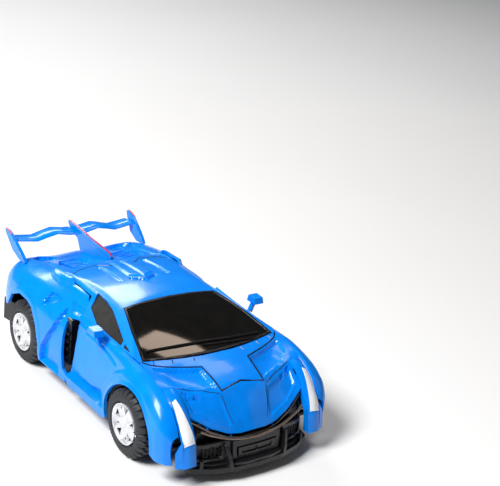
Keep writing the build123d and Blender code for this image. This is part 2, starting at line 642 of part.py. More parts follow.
def chest_frame():
    """Black frame that joins hood, grille and splitter to the chest and shoulder pins."""
    y, z = CHEST_PIVOT
    frame = slab(-20.1, 20.1, -57.4, -55.2, 6.6, 15.9)
    rail = side_prism([(-57.4, 10.0), (-57.4, 15.9), (-53.8, 20.7), (y, z + 2.2), (y, z - 2.2), (-54, 10.0)], *RAIL_SPAN)
    boss = side_prism([(-57.4, 10.0), (-57.4, 15.9), (-53.6, 20.4), (y, z + 2.0), (y, z - 2.0), (-54, 10.0)], *BOSS_SPAN)
    for shape, (low, high) in ((rail, RAIL_SPAN), (boss, BOSS_SPAN)):
        shape += rod_x(2.2, low, high, y, z)
        shape -= rod_x(PIN_RADIUS, low - 1, high + 1, y, z)
        frame += shape
        frame += flipped(shape)
    x, y = SHOULDER
    for low, high in (SHOULDER_LOWER, SHOULDER_UPPER):
        bracket = slab(20.0, x, y + 0.8, y + 2.6, low, high)
        bracket += rod_z(BRACKET_RADIUS, low, high, x, y)
        bracket -= rod_z(SMALL_PIN_RADIUS, low - 1, high + 1, x, y)
        frame += bracket
        frame += flipped(bracket)
    return frame


def chest_pins():
    return pair(rod_x(PIN_RADIUS, 8.4, 20.1, *CHEST_PIVOT))


def shoulder_pins():
    return pair(rod_z(SMALL_PIN_RADIUS, SHOULDER_LOWER[0], SHOULDER_UPPER[1], *SHOULDER))


# ---- cowl and head ------------------------------------------------------
def cowl_panel():
    plate = side_prism(plate_profile(HOOD_LINE, WALL, 13.4), -CHEST_HALF, CHEST_HALF)
    plate &= plan_prism(cowl_plan(0.0), 0, 40)
    y, z = HEAD_PIVOT
    lug = side_prism([(y - 1.4, z), (y - 0.9, z + 2.2), (y + 1.4, z + 2.4), (y + 1.4, z)], *LUG_SPAN)
    lug += rod_x(1.4, *LUG_SPAN, y, z)
    lug -= rod_x(SMALL_PIN_RADIUS + RUNNING_CLEARANCE, 12, 16, y, z)
    return plate + lug + flipped(lug)


def head_bracket():
    """Two posts on the chest that hold the ends of the cowl pin."""
    y, z = HEAD_PIVOT
    post = side_prism([(y - 0.8, z + 0.4), (y - 9.0, z - 6.5), (y - 7.4, z - 6.5), (y + 0.8, z - 0.8)], *RAIL_SPAN)
    post += rod_x(1.1, *RAIL_SPAN, y, z)
    post -= rod_x(SMALL_PIN_RADIUS, 17, 21, y, z)
    return pair(post)


def head_pin():
    return pair(rod_x(SMALL_PIN_RADIUS, LUG_SPAN[0] - 1.2, RAIL_SPAN[1], *HEAD_PIVOT))


def head_frame(shape):
    """Lay a head part, modelled upright and facing -Y on its neck, under the cowl."""
    y, z = HEAD_PIVOT
    return Pos(0, y, z) * Rot(HEAD_TURN, 0, 0) * shape


def helmet():
    """Helmet shell, upright, as seen with the car stood up."""
    profile = [(-6.6, 4.2), (-7.6, 7.4), (-7.2, 10.2), (-5.6, 11.8), (-3.2, 12.2), (-2.4, 10.0), (-2.4, 4.0)]
    body = side_prism(profile, -4.0, 4.0)
    body -= slab(-2.9, 2.9, -9.0, -5.2, 3, 10.2)
    body -= slab(-2.2, 2.2, -5.3, -2.0, 3, 5.2)
    crest = side_prism([(-7.9, 9.0), (-7.9, 10.2), (-4.8, 12.4), (-3.4, 12.2), (-7.0, 9.0)], -0.8, 0.8)
    crest -= slab(-2.9, 2.9, -9.0, -5.2, 3, 10.2)
    ear = slab(4.0, 4.8, -6.4, -3.8, 6.2, 11.0)
    return head_frame(body + crest + ear + flipped(ear))


def face():
    """Plain robot mask: brow, nose ridge, mouth plate and chin."""
    mask = side_prism([(-5.2, 4.0), (-7.0, 4.2), (-7.5, 5.4), (-7.1, 7.8), (-6.6, 10.2), (-5.2, 10.2)], -2.8, 2.8)
    mask -= slab(-2.3, -0.5, -9.0, -6.5, 8.0, 9.0)
    mask -= slab(0.5, 2.3, -9.0, -6.5, 8.0, 9.0)
    return head_frame(mask)


def neck():
    stem = slab(-2.2, 2.2, -5.1, -2.8, 0.4, 5.2) + slab(-2.2, 2.2, -5.1, 0.0, -0.6, 1.0)
    half = LUG_SPAN[0] - 0.2
    socket = rod_x(SMALL_PIN_RADIUS + RUNNING_CLEARANCE, half - 1.2, half + 1.0, 0, 0)
    bar = rod_x(1.2, -half, half, 0, 0) + stem - socket - flipped(socket)
    return head_frame(bar)


# ---- side modules: door and fender, which become the arms -----------------
def arm_profile(inset):
    """Side outline of door and fender; with an inset, the hollow inside it, open under the fender."""
    low = 9.6 if inset == 0 else -2.4
    front = FENDER_FRONT_Y + (FENDER_FRONT_WALL if inset > 0 else 0)
    rear = DOOR_REAR_Y - inset
    top = [(-50.6, 26.8), (-44, 29.4), (-34, 31.0), (-20, 31.4)]
    return [(front, low), (front, 17.6)] + [(y, z - inset) for y, z in top] \
        + [(rear, 32.6 - inset), (rear, 6.5 + inset), (-20.6, 6.5 + inset), (-24.0, 7.6 + inset), (-24.0, low)]


def side_panel():
    """Door and fender in one shell, open towards the car's middle."""
    plan = [(ARM_TOP_INNER, -55.8)] + SIDE_PLAN + [(ARM_TOP_INNER, 6)]
    inner_plan = [(15, -62), (28.0, FENDER_FRONT_Y)] + [(x - WALL, y) for x, y in SIDE_PLAN[1:]] + [(15, 6)]
    outer = side_prism(arm_profile(0.0), ARM_TOP_INNER, 35) & plan_prism(plan, 0, 40)
    outer &= front_prism([(20, 0), (33.9, 0)] + SIDE_SECTION + [(20, 34.6)], -65, 10)
    inner = side_prism(arm_profile(WALL), 15, 35) & plan_prism(inner_plan, 0, 40)
    section = [(x - WALL, z - WALL * 0.6) for x, z in SIDE_SECTION]
    inner &= front_prism([(15, -5), (32.5, -5)] + section + [(15, 33.2)], -65, 10)
    shell = outer - inner - slab(20, CABIN_HALF + 0.4, -33.5, 10, 29.4, 50) - mirror_housing()
    shell -= rod_x(WHEEL_WELL_RADIUS, 20, 40, FRONT_AXLE_Y, TYRE_RADIUS)
    shell -= slab(20, 40, FRONT_AXLE_Y - WHEEL_WELL_RADIUS, -25.0, -1, TYRE_RADIUS) \
        & slab(20, 40, -46.5, -25.0, -1, TYRE_RADIUS)
    shell -= slab(20, 40, -52.4, -24.2, -1, 9.0)
    shell -= slab(20, SHOULDER[0] - 0.7, -60, -50, SHOULDER_LOWER[0] - 1, SHOULDER_UPPER[1] + 0.5)
    wall_rear = slab(LINER_INNER + 1.4, 33.0, -22.9, -21.7, 7.6, 24.0)
    wall_rear &= front_prism([(20, 0), (33.0, 0), (33.0, 18), (31.0, 24.0), (20, 24.0)], -65, 10)
    return shell + wall_rear


def wheel_liner():
    """Inner plate of the fender, with the shoulder knuckle and the axle boss."""
    plate = side_prism([(-48.0, 8.0), (-48.0, 18.0), (-43.0, 23.0), (-30.0, 24.0), (-4.0, 24.0), (-4.0, 9.0),
                        (-20.0, 8.0)], LINER_INNER, LINER_INNER + 1.4)
    low, high = KNUCKLE_SPAN
    web = slab(LINER_INNER, 30.4, -49.2, -48.0, low, high)
    link = slab(SHOULDER[0] - 0.8, 30.4, SHOULDER[1], -48.0, low, high)
    plate += web + link + rod_z(KNUCKLE_RADIUS, low, high, *SHOULDER)
    plate -= rod_z(SMALL_PIN_RADIUS + RUNNING_CLEARANCE, low - 1, high + 1, *SHOULDER)
    return plate - rod_x(AXLE_RADIUS, 20, 30, FRONT_AXLE_Y, TYRE_RADIUS)


def upper_arm():
    """Black box inside the door that fills out the arm."""
    box = slab(LINER_INNER + 1.4, 30.4, -21.7, -2.0, 11.0, 23.4)
    return box - slab(LINER_INNER, 29.2, -20.5, -3.2, 12.2, 22.2)


def stub_axle():
    """Pin that carries one front wheel, with a riveted cap inside."""
    pin = rod_x(AXLE_RADIUS, LINER_INNER - 0.1, WHEEL_OUTER_X - 2.8, FRONT_AXLE_Y, TYRE_RADIUS)
    collar = rod_x(1.7, LINER_INNER - 0.3, LINER_INNER, FRONT_AXLE_Y, TYRE_RADIUS)
    return pin + collar


def mirror_housing():
    """Door mirror on a short stalk."""
    stalk = front_prism([(30.0, 29.8), (31.2, 29.4), (32.6, 33.0), (31.4, 33.2)], -14.2, -12.6)
    head = side_prism([(-16.2, 33.2), (-15.4, 35.2), (-11.6, 35.4), (-11.0, 33.0)], 30.6, 34.4)
    return stalk + head


# ---- build and write ------------------------------------------------------
def front_rim():
    """Rim bored to run on its stub axle."""
    return rim() - rod_x(AXLE_RADIUS + RUNNING_CLEARANCE, -20, -2.6, 0, 0)


def rear_rim():
    """Rim bored to be pressed on the rear axle."""
    return rim() - rod_x(AXLE_RADIUS, -20, -2.6, 0, 0)


def rear_axle():
    half = WHEEL_OUTER_X - 2.6
    return rod_x(AXLE_RADIUS, -half, half, REAR_AXLE_Y, TYRE_RADIUS)


def build():
    os.makedirs("parts", exist_ok=True)
    blade, end_plate = rear_wing()
    single = {
        "rear_body_shell": rear_body_shell(), "rear_bumper": rear_bumper(), "rear_fin": rear_fin(),
        "wing_blade": blade - rear_fin(), "wing_end_plates": pair(end_plate), "tail_lights": pair(tail_light()),
        "side_intakes": pair(side_intake()), "chassis_base": chassis_base(), "foot_deck": foot_deck(),
        "latch_slider": latch_slider(), "latch_spring": latch_spring(), "hip_pins": hip_pins(),
        "hip_springs": hip_springs(), "base_screws": base_screws(), "motor_housing": motor_housing(),
        "rear_axle": rear_axle(), "drive_gear": drive_gear(), "idler_gear": idler_gear(), "flywheel": flywheel(),
        "cabin_shell": cabin_shell(), "windshield": cabin_glass(windshield_region()), "wiper_arm": wiper(),
        "torso_plate": torso_plate(), "shoulder_boxes": shoulder_boxes(), "chest_armour": chest_armour(),
        "waist_relief": waist_relief(), "pelvis_armour": pelvis_armour(), "leg_armour": leg_armour(),
        "latch_hook": latch_hook(), "hood_shell": hood_shell(), "headlights": pair(headlight()),
        "front_grille": front_grille(), "bumper_button": bumper_button(), "splitter": splitter(),
        "chest_frame": chest_frame(), "chest_pins": chest_pins(), "shoulder_pins": shoulder_pins(),
        "cowl_panel": cowl_panel(), "head_brackets": head_bracket(), "head_pin": head_pin(),
        "helmet": helmet(), "robot_face": face(), "neck": neck(),
        "side_windows": pair(cabin_glass(side_window_region())),
    }
    sided = {"side_panel": side_panel(), "wheel_liner": wheel_liner(), "upper_arm": upper_arm(),
             "stub_axle": stub_axle(), "mirror": mirror_housing()}
    for name, shape in sided.items():
        single[name + "_right"] = shape
        single[name + "_left"] = flipped(shape)
    tyre_shape = tyre()
    for side, label in ((1, "right"), (-1, "left")):
        single["front_rim_" + label] = placed_wheel(front_rim(), side, FRONT_AXLE_Y)
        single["front_tyre_" + label] = placed_wheel(tyre_shape, side, FRONT_AXLE_Y)
    single["rear_rims"] = group([placed_wheel(rear_rim(), side, REAR_AXLE_Y) for side in (1, -1)])
    single["rear_tyres"] = group([placed_wheel(tyre_shape, side, REAR_AXLE_Y) for side in (1, -1)])
    for name, shape in single.items():
        write(name, shape)


build()
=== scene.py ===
import bmesh
import bpy
import json
import math
import numpy as np
from mathutils import Matrix, Vector
from mathutils.geometry import delaunay_2d_cdt


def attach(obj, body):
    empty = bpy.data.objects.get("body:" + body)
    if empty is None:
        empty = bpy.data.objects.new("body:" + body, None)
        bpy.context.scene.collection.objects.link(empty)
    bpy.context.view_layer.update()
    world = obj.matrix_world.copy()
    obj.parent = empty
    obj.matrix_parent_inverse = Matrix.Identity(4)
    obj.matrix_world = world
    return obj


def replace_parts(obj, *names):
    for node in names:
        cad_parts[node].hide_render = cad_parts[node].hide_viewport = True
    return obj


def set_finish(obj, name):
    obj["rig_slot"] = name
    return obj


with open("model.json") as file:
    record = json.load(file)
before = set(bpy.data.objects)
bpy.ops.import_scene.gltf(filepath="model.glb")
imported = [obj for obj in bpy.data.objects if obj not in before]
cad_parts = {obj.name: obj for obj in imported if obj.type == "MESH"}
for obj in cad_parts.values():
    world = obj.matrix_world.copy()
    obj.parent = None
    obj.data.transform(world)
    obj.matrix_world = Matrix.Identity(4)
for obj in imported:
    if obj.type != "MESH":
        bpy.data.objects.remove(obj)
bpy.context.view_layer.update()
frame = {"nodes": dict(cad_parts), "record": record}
MM = 0.001


# ---- materials
COAT_ROUGHNESS = 0.06
GRAIN_SCALE = 2400
GRAIN_DEPTH = 0.0001


def material(name, color, rough, metallic=0, coat=0, vary=0.08, scale=220, bump=0.04, specular=0.5):
    """Node material with uneven colour and gloss, and a fine moulded grain."""
    made = bpy.data.materials.new(name)
    made.use_nodes = True
    tree = made.node_tree
    link = tree.links.new
    shader = next(n for n in tree.nodes if n.type == "BSDF_PRINCIPLED")
    for socket, value in (("Metallic", metallic), ("Specular IOR Level", specular), ("Coat Weight", coat),
            ("Coat Roughness", COAT_ROUGHNESS)):
        shader.inputs[socket].default_value = value
    place = tree.nodes.new("ShaderNodeTexCoord")
    broad = tree.nodes.new("ShaderNodeTexNoise")
    broad.inputs["Scale"].default_value = scale
    broad.inputs["Detail"].default_value = 3
    link(place.outputs["Object"], broad.inputs["Vector"])
    ramp = tree.nodes.new("ShaderNodeValToRGB")
    for end, factor, position in ((0, 1 - vary, 0.35), (1, 1 + vary, 0.65)):
        ramp.color_ramp.elements[end].color = (*[min(c * factor, 1) for c in color], 1)
        ramp.color_ramp.elements[end].position = position
    link(broad.outputs["Fac"], ramp.inputs["Fac"])
    link(ramp.outputs["Color"], shader.inputs["Base Color"])
    gloss = tree.nodes.new("ShaderNodeMapRange")
    gloss.inputs["To Min"].default_value = rough * 0.85
    gloss.inputs["To Max"].default_value = rough * 1.2
    link(broad.outputs["Fac"], gloss.inputs["Value"])
    link(gloss.outputs["Result"], shader.inputs["Roughness"])
    if bump:
        grain = tree.nodes.new("ShaderNodeTexNoise")
        grain.inputs["Scale"].default_value = GRAIN_SCALE
        link(place.outputs["Object"], grain.inputs["Vector"])
        relief = tree.nodes.new("ShaderNodeBump")
        relief.inputs["Strength"].default_value = bump
        relief.inputs["Distance"].default_value = GRAIN_DEPTH
        link(grain.outputs["Fac"], relief.inputs["Height"])
        link(relief.outputs["Normal"], shader.inputs["Normal"])
    return made


# colour, roughness, then what differs from material()'s own settings
LOOKS = {
    "blue_plastic": ((0, 0.23, 0.88), 0.2, dict(coat=0.12, vary=0.05, bump=0.02, specular=0.28)),
    "black_plastic": ((0.006, 0.006, 0.007), 0.3, dict(coat=0.1, bump=0.12, specular=0.35)),
    "red_lens": ((0.55, 0.012, 0.01), 0.15, dict(coat=0.6)),
    "brass_wire": ((0.78, 0.52, 0.2), 0.25, dict(metallic=1)),
    "steel": ((0.62, 0.62, 0.64), 0.28, dict(metallic=1, bump=0.1)),
    "smoked_glass": ((0.004, 0.0035, 0.003), 0.05, dict(coat=0.35, vary=0.3, bump=0, specular=0.45)),
    "grey_trim": ((0.009, 0.009, 0.011), 0.28, dict(coat=0.15, bump=0.1, specular=0.35)),
    "gold_armour": ((0.84, 0.50, 0.27), 0.3, dict(metallic=0.25, coat=0.2, vary=0.16)),
    "cream_armour": ((0.88, 0.76, 0.58), 0.32, dict(metallic=0.15, coat=0.2, vary=0.08)),
    "dark_window": ((0.03, 0.029, 0.028), 0.16, dict(coat=0.2, vary=0.2, bump=0)),
    "white_lens": ((0.93, 0.95, 0.97), 0.14, dict(coat=0.7, vary=0.02)),
    "silver_paint": ((0.74, 0.75, 0.78), 0.3, dict(metallic=0.4)),
    "white_nylon": ((0.8, 0.8, 0.76), 0.45, dict()),
    "silver_rim": ((0.72, 0.73, 0.75), 0.26, dict(metallic=0.5, coat=0.3, vary=0.03)),
    "tyre_rubber": ((0.014, 0.016, 0.019), 0.55, dict(vary=0.2, bump=0.3)),
    "white_edge": ((0.86, 0.86, 0.84), 0.35, dict(vary=0.05)),
    "bronze_line": ((0.22, 0.17, 0.13), 0.22, dict(metallic=0.7, coat=0.4)),
    "orange_edge": ((0.75, 0.12, 0.03), 0.3, dict(vary=0.1)),
}
LOOK = {name: material(name, color, rough, **rest) for name, (color, rough, rest) in LOOKS.items()}


# ---- maths on points
def curve(knots, t, sharp=()):
    """Smooth value through (t, value) knots without overshoot; a sharp knot keeps a corner."""
    at = np.array([k[0] for k in knots], float)
    value = np.array([k[1] for k in knots], float)
    slope = np.diff(value) / np.diff(at)
    tangent = np.concatenate([[slope[0]], np.zeros(len(at) - 2), [slope[-1]]])
    for i in range(1, len(at) - 1):
        a, b = slope[i - 1], slope[i]
        tangent[i] = 2 * a * b / (a + b) if a * b > 0 else 0
    t = np.asarray(t, float)
    held = np.clip(t, at[0], at[-1])
    i = np.clip(np.searchsorted(at, held, side="right") - 1, 0, len(at) - 2)
    h = at[i + 1] - at[i]
    u = (held - at[i]) / h
    m0 = np.where(np.isin(i, sharp), slope[i], tangent[i]) * h
    m1 = np.where(np.isin(i + 1, sharp), slope[i], tangent[i + 1]) * h
    bent = hermite(value[i], value[i + 1], m0, m1, u)
    beyond = np.where(t > at[-1], slope[-1], slope[0])
    return bent + (t - held) * beyond


def hermite(a, b, m0, m1, u):
    """Cubic from a to b with slopes m0 and m1."""
    rise, left, right = 3 * u**2 - 2 * u**3, u**3 - 2 * u**2 + u, u**3 - u**2
    return (2 * u**3 - 3 * u**2 + 1) * a + left * m0 + rise * b + right * m1


def across(at, rows, t, sharp=(), flat_start=False):
    """Interpolate between rows of values (one row for each place in at), point by point."""
    at = np.array(at, float)
    slope = np.diff(rows, axis=0) / np.diff(at)[:, None]
    tangent = np.vstack([slope[:1] * (0 if flat_start else 1), (slope[:-1] + slope[1:]) / 2, slope[-1:]])
    i = np.clip(np.searchsorted(at, t, side="right") - 1, 0, len(at) - 2)
    h = at[i + 1] - at[i]
    u = np.clip((t - at[i]) / h, 0, 1)
    n = np.arange(len(t))
    m0 = np.where(np.isin(i, sharp), slope[i, n], tangent[i, n]) * h
    m1 = np.where(np.isin(i + 1, sharp), slope[i, n], tangent[i + 1, n]) * h
    return hermite(rows[i, n], rows[i + 1, n], m0, m1, u)


def step_up(value, low, high):
    """0 below low, 1 above high, eased between."""
    u = np.clip((value - low) / (high - low), 0, 1)
    return u * u * (3 - 2 * u)


def inside(polygon, points):
    poly = np.array(polygon, float)
    hit = np.zeros(len(points), bool)
    for (ax, ay), (bx, by) in zip(poly, np.roll(poly, -1, axis=0)):
        if ay == by:
            continue
        crosses = (ay > points[:, 1]) != (by > points[:, 1])
        hit ^= crosses & (points[:, 0] < (bx - ax) * (points[:, 1] - ay) / (by - ay) + ax)
    return hit


def distance(points, line, closed=False):
    """Distance from each 2-D point to a polyline."""
    line = np.array(line, float)
    ends = np.roll(line, -1, axis=0) if closed else line[1:]
    best = np.full(len(points), 1e9)
    for a, b in zip(line, ends):
        d = b - a
        u = np.clip(((points - a) @ d) / max(d @ d, 1e-12), 0, 1)
        best = np.minimum(best, np.linalg.norm(points - a - u[:, None] * d, axis=1))
    return best


def within(polygon, points, edge):
    """1 well inside a polygon, 0 outside, eased over the width of its edge."""
    d = distance(points, polygon, closed=True)
    return np.where(inside(polygon, points), step_up(d, 0, edge), 0)


def dense(line, step, closed=False):
    line = np.array(line, float)
    ends = np.roll(line, -1, axis=0) if closed else line[1:]
    out = []
    for a, b in zip(line, ends):
        count = max(1, int(round(np.linalg.norm(b - a) / step)))
        out += [a + (b - a) * k / count for k in range(count)]
    if not closed:
        out.append(line[-1])
    return np.array(out)


def arc(cx, cy, rx, ry, start, end, count):
    """Points on an ellipse between two angles in degrees."""
    return [(cx + rx * math.cos(a), cy + ry * math.sin(a)) for a in np.radians(np.linspace(start, end,
        count))]


def xyz(x, y, z):
    """Rows of x, y, z from three columns; a plain number fills its whole column."""
    return np.stack(np.broadcast_arrays(x, y, z), axis=1)


def pairs(u, v):
    return np.stack([u, v], axis=1)


# ---- meshes
def piece(name, verts, faces, look, body, angle=30, slot=None):
    """A mesh object in millimetres that rides on a CAD body."""
    mesh = bpy.data.meshes.new(name)
    mesh.from_pydata([tuple(float(c) * MM for c in v) for v in verts], [], [tuple(map(int, f))
        for f in faces])
    mesh.validate()
    mesh.materials.append(LOOK[look])
    mesh.shade_smooth()
    mesh.set_sharp_from_angle(angle=math.radians(angle))
    made = bpy.data.objects.new(name, mesh)
    bpy.context.scene.collection.objects.link(made)
    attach(made, body)
    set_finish(made, slot or look)
    return made


def modify(target, kind, **settings):
    added = target.modifiers.new(kind.title(), kind)
    for key, value in settings.items():
        setattr(added, key, value)


def soften(target, width=0.15, angle=40):
    modify(target, "BEVEL", width=width * MM, segments=2, limit_method="ANGLE",
        angle_limit=math.radians(angle), harden_normals=True, use_clamp_overlap=True)


ROW_PITCH = 0.87
CHUNK = 800


def in_panel(loops, points):
    """Which points are inside the first loop and outside the others."""
    keep = inside(loops[0], points)
    for loop in loops[1:]:
        keep &= ~inside(loop, points)
    return keep


def fill(outline, holes=(), lines=(), step=0.6):
    """Triangles over a flat outline with holes, with edges kept along the given lines."""
    loops = [dense(loop, step, closed=True) for loop in [outline, *holes]]
    points, edges = [], []
    for loop in loops:
        base = len(points)
        points += list(loop)
        edges += [(base + k, base + (k + 1) % len(loop)) for k in range(len(loop))]
    for line in [dense(line, step) for line in lines]:
        base = len(points)
        points += list(line)
        edges += [(base + k, base + k + 1) for k in range(len(line) - 1)]
    border = np.array(points)
    low, high = loops[0].min(0), loops[0].max(0)
    rows = np.arange(low[1] + step / 2, high[1], step * ROW_PITCH)
    grid = np.array([(x + (step / 2 if r % 2 else 0), y) for r, y in enumerate(rows) for x in np.arange(low[0]
        + step / 2, high[0], step)])
    if len(grid):
        grid = grid[in_panel(loops, grid)]
    if len(grid):
        near = np.concatenate([np.sqrt(((chunk[:, None, :] - border[None]) ** 2).sum(2).min(1))
            for chunk in np.array_split(grid, max(1, len(grid) // CHUNK))])
        grid = grid[near > step * 0.5]
    points += list(grid)
    out = delaunay_2d_cdt([Vector(p) for p in points], edges, [], 0, 1e-6)
    flat = np.array([tuple(v) for v in out[0]])
    triangles = np.array([f for f in out[2] if len(f) == 3])
    triangles = triangles[in_panel(loops, flat[triangles].mean(1))]
    used, renumbered = np.unique(triangles, return_inverse=True)
    return flat[used], renumbered.reshape(triangles.shape)


def skin(name, outline, place, look, body, outward, holes=(), lines=(), step=0.6, thick=0.9, angle=30,
        mirrored=False, bevel=0.12):
    """A moulded panel: place(u, v) puts a flat outline in space, then it gets its thickness inwards."""
    flat, triangles = fill(outline, holes, lines, step)
    verts = xyz(*place(*flat.T))
    a, b, c = (verts[triangles[:, k]] for k in range(3))
    if (np.cross(b - a, c - a) @ np.array(outward, float)).sum() < 0:
        triangles = triangles[:, ::-1]
    made = piece(name, verts, triangles, look, body, angle)
    if mirrored:
        modify(made, "MIRROR", use_axis=(True, False, False), use_clip=False, merge_threshold=0.02 * MM)
    modify(made, "SOLIDIFY", thickness=thick * MM, offset=-1, use_even_offset=False, use_rim=True)
    if bevel:
        soften(made, bevel, 55)
    return made


def other_side(source, body):
    """Mirror image of a piece on the right, named after it and riding on the given body."""
    mesh = source.data.copy()
    mesh.transform(Matrix.Scale(-1, 4, (1, 0, 0)))
    mesh.flip_normals()
    made = bpy.data.objects.new(source.name.removesuffix("_right") + "_left", mesh)
    bpy.context.scene.collection.objects.link(made)
    for old in source.modifiers:
        new = made.modifiers.new(old.name, old.type)
        for prop in old.bl_rna.properties:
            if not prop.is_readonly:
                setattr(new, prop.identifier, getattr(old, prop.identifier))
    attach(made, body)
    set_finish(made, source["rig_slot"])
    return made


def prism(name, outline, place, look, body, bevel=0.15):
    """A solid plate: place(u, v, level) puts the outline in space at level 0 and at level 1."""
    flat, triangles = fill(outline, step=50)
    n = len(flat)
    loop = dense(outline, 500, closed=True)
    order = [int(np.argmin(((flat - p) ** 2).sum(1))) for p in loop]
    verts = np.vstack([xyz(*place(*flat.T, level)) for level in (0, 1)])
    faces = [tuple(t) for t in triangles] + [tuple(n + i for i in reversed(t)) for t in triangles]
    faces += [(order[(k + 1) % len(order)], order[k], n + order[k], n + order[(k + 1) % len(order)])
        for k in range(len(order))]
    made = piece(name, verts, faces, look, body)
    tidy_normals(made)
    soften(made, bevel, 35)
    return made


def tidy_normals(made):
    work = bmesh.new()
    work.from_mesh(made.data)
    bmesh.ops.recalc_face_normals(work, faces=work.faces)
    work.to_mesh(made.data)
    work.free()


def ring_faces(rings, count, closed=False):
    """Quads between rings of count points; closed also joins the last ring to the first."""
    return [(i * count + j, i * count + (j + 1) % count, (i + 1) % rings * count + (j + 1) % count,
        (i + 1) % rings * count + j) for i in range(rings - (not closed)) for j in range(count)]


def tube(name, path, radius, look, body, sides=10, slot=None, flat=1):
    """A round bar along a 3-D path, closed at both ends."""
    path = np.array(path, float)
    verts = []
    for k, point in enumerate(path):
        ahead = path[min(k + 1, len(path) - 1)] - path[max(k - 1, 0)]
        ahead = Vector(ahead).normalized()
        side = ahead.orthogonal().normalized() if k == 0 else (side - ahead * side.dot(ahead)).normalized()
        up = ahead.cross(side)
        for j in range(sides):
            a = 2 * math.pi * j / sides
            verts.append(Vector(point) + (side * math.cos(a) + up * math.sin(a) * flat) * radius)
    faces = ring_faces(len(path), sides)
    faces.append(tuple(range(sides))[::-1])
    faces.append(tuple((len(path) - 1) * sides + j for j in range(sides)))
    made = piece(name, verts, faces, look, body, 50, slot)
    tidy_normals(made)
    return made


# ---- kept CAD nodes: softened edges and finishes
slot_of = {part["node"]: part["material_slot"] for part in frame["record"]["subparts"]}
for name, node in frame["nodes"].items():
    node.data.materials.clear()
    node.data.materials.append(LOOK[slot_of[name]])
    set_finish(node, slot_of[name])
    modify(node, "WELD", merge_threshold=0.002 * MM)
    modify(node, "BEVEL", width=0.16 * MM, segments=2, limit_method="ANGLE", angle_limit=math.radians(34))
    modify(node, "WEIGHTED_NORMAL", keep_sharp=True)


# ---- doors and fenders: the robot's arms
ARM_GIRTH = 34
ARM_SECTIONS = [
    (-59, [(29.4, 7.8), (30.2, 11), (30.5, 14), (30.4, 15.6), (29.9, 16.8), (29, 17.5), (27.9, 17.8)]),
    (-57.5, [(31.2, 7.7), (31.9, 11.4), (32.2, 14.6), (32, 17), (31.2, 18.9), (29.7, 20.1), (27.9, 20.7)]),
    (-54, [(32.6, 7.6), (33.3, 11.8), (33.5, 15.8), (33.3, 19.4), (32.3, 22.2), (30.3, 23.9), (27.9, 24.8)]),
    (-49, [(33.1, 8.8), (33.7, 12.5), (33.8, 16.8), (33.6, 21.2), (32.5, 24.8), (30.4, 26.9), (27.9, 27.9)]),
    (-43, [(33.2, 8.4), (33.8, 12.8), (33.8, 17.4), (33.5, 22.4), (32.4, 26.4), (30.4, 28.7), (27.9, 29.7)]),
    (-36, [(33.1, 8), (33.7, 13), (33.8, 18), (33.4, 23.2), (32.2, 27.4), (30.1, 29.8), (27.9, 30.7)]),
    (-28, [(32.9, 7.2), (33.4, 12.4), (33.5, 17.4), (33, 22.6), (31.7, 27), (29.8, 29.9), (27.9, 31.1)]),
    (-20, [(32.8, 6.6), (33.2, 11.6), (33.1, 16.4), (32.5, 21.6), (31.3, 26.2), (29.6, 29.6), (27.9, 31.3)]),
    (-8, [(32.6, 6.5), (33, 11.2), (32.8, 16), (32.1, 21.2), (31, 26), (29.5, 29.6), (27.9, 31.6)]),
    (3.8, [(32.9, 6.5), (33.2, 11.2), (33, 16), (32.2, 21.6), (31, 26.6), (29.5, 30.2), (27.9, 32.3)]),
]
FRONT_ARCH = (-37.6, 11.8, 14.4, 13.4)
SCOOP = [(4.2, 31), (-3.4, 29.6), (-1.8, 25), (-0.9, 20), (-1.4, 15.4), (-4.6, 13.4), (-12, 13.4),
    (-21, 15.8), (-22.4, 10), (4.2, 9.8)]
BELT = [(3.9, 28.6), (-6, 28.6), (-17, 27.9), (-24, 26.6)]


def section_rows(sections, y):
    """x and z of every section point at each y."""
    count = len(sections[0][1])
    rows = [[curve([(s[0], s[1][k][c]) for s in sections], y) for k in range(count)] for c in (0, 1)]
    return np.array(rows[0]), np.array(rows[1])


def to_chart(sections, girth, points):
    """Turn (y, z) points on a flank into its flat chart of (y, distance round the section)."""
    out = []
    steps = np.linspace(0, len(sections[0][1]) - 1, 200)
    for y, z in points:
        _, zs = section_rows(sections, np.full(200, y))
        height = across(range(len(zs)), zs, steps)
        out.append((y, float(np.interp(z, height, steps)) / (len(zs) - 1) * girth))
    return out


def flank(sections, girth, y, around):
    """x and z of points given as y and the distance round the section."""
    xs, zs = section_rows(sections, y)
    s = np.clip(around / girth, 0, 1) * (len(zs) - 1)
    return across(range(len(xs)), xs, s), across(range(len(zs)), zs, s)


def front_arch_line(grow, start, end):
    y, z, ry, rz = FRONT_ARCH
    return arc(y, z, ry + grow, rz + grow, start, end, 40)


def arm_depth(y, z):
    """How far the door and fender are pressed in, in the moulding's style lines."""
    points = pairs(y, z)
    from_arch = distance(points, front_arch_line(0, -40, 220))
    door = step_up(from_arch, 3.4, 4.5) * step_up(y, -37, -27) * (1 - step_up(z, 25.5, 30))
    depth = door - 0.3 * (1 - step_up(from_arch, 0.2, 1.1))
    depth += 1.5 * within(SCOOP, points, 0.55) * (1 - step_up(z, 29, 31)) * step_up(y, -23.5, -15)
    depth += 0.55 * (1 - step_up(distance(points, BELT), 0, 0.75))
    rocker = (1 - step_up(z, 9.9, 10.7)) * step_up(y, -24.5, -23)
    return depth * (1 - rocker) - 0.35 * rocker


def place_arm(y, around):
    x, z = flank(ARM_SECTIONS, ARM_GIRTH, y, around)
    return x - arm_depth(y, z), y, z


def place_well(x, turn):
    """The dark liner over a front wheel; one unit of turn is 6 degrees."""
    a = np.radians(turn * 6)
    return x, -37.2 + 13.6 * np.cos(a), 11.7 + 13 * np.sin(a)


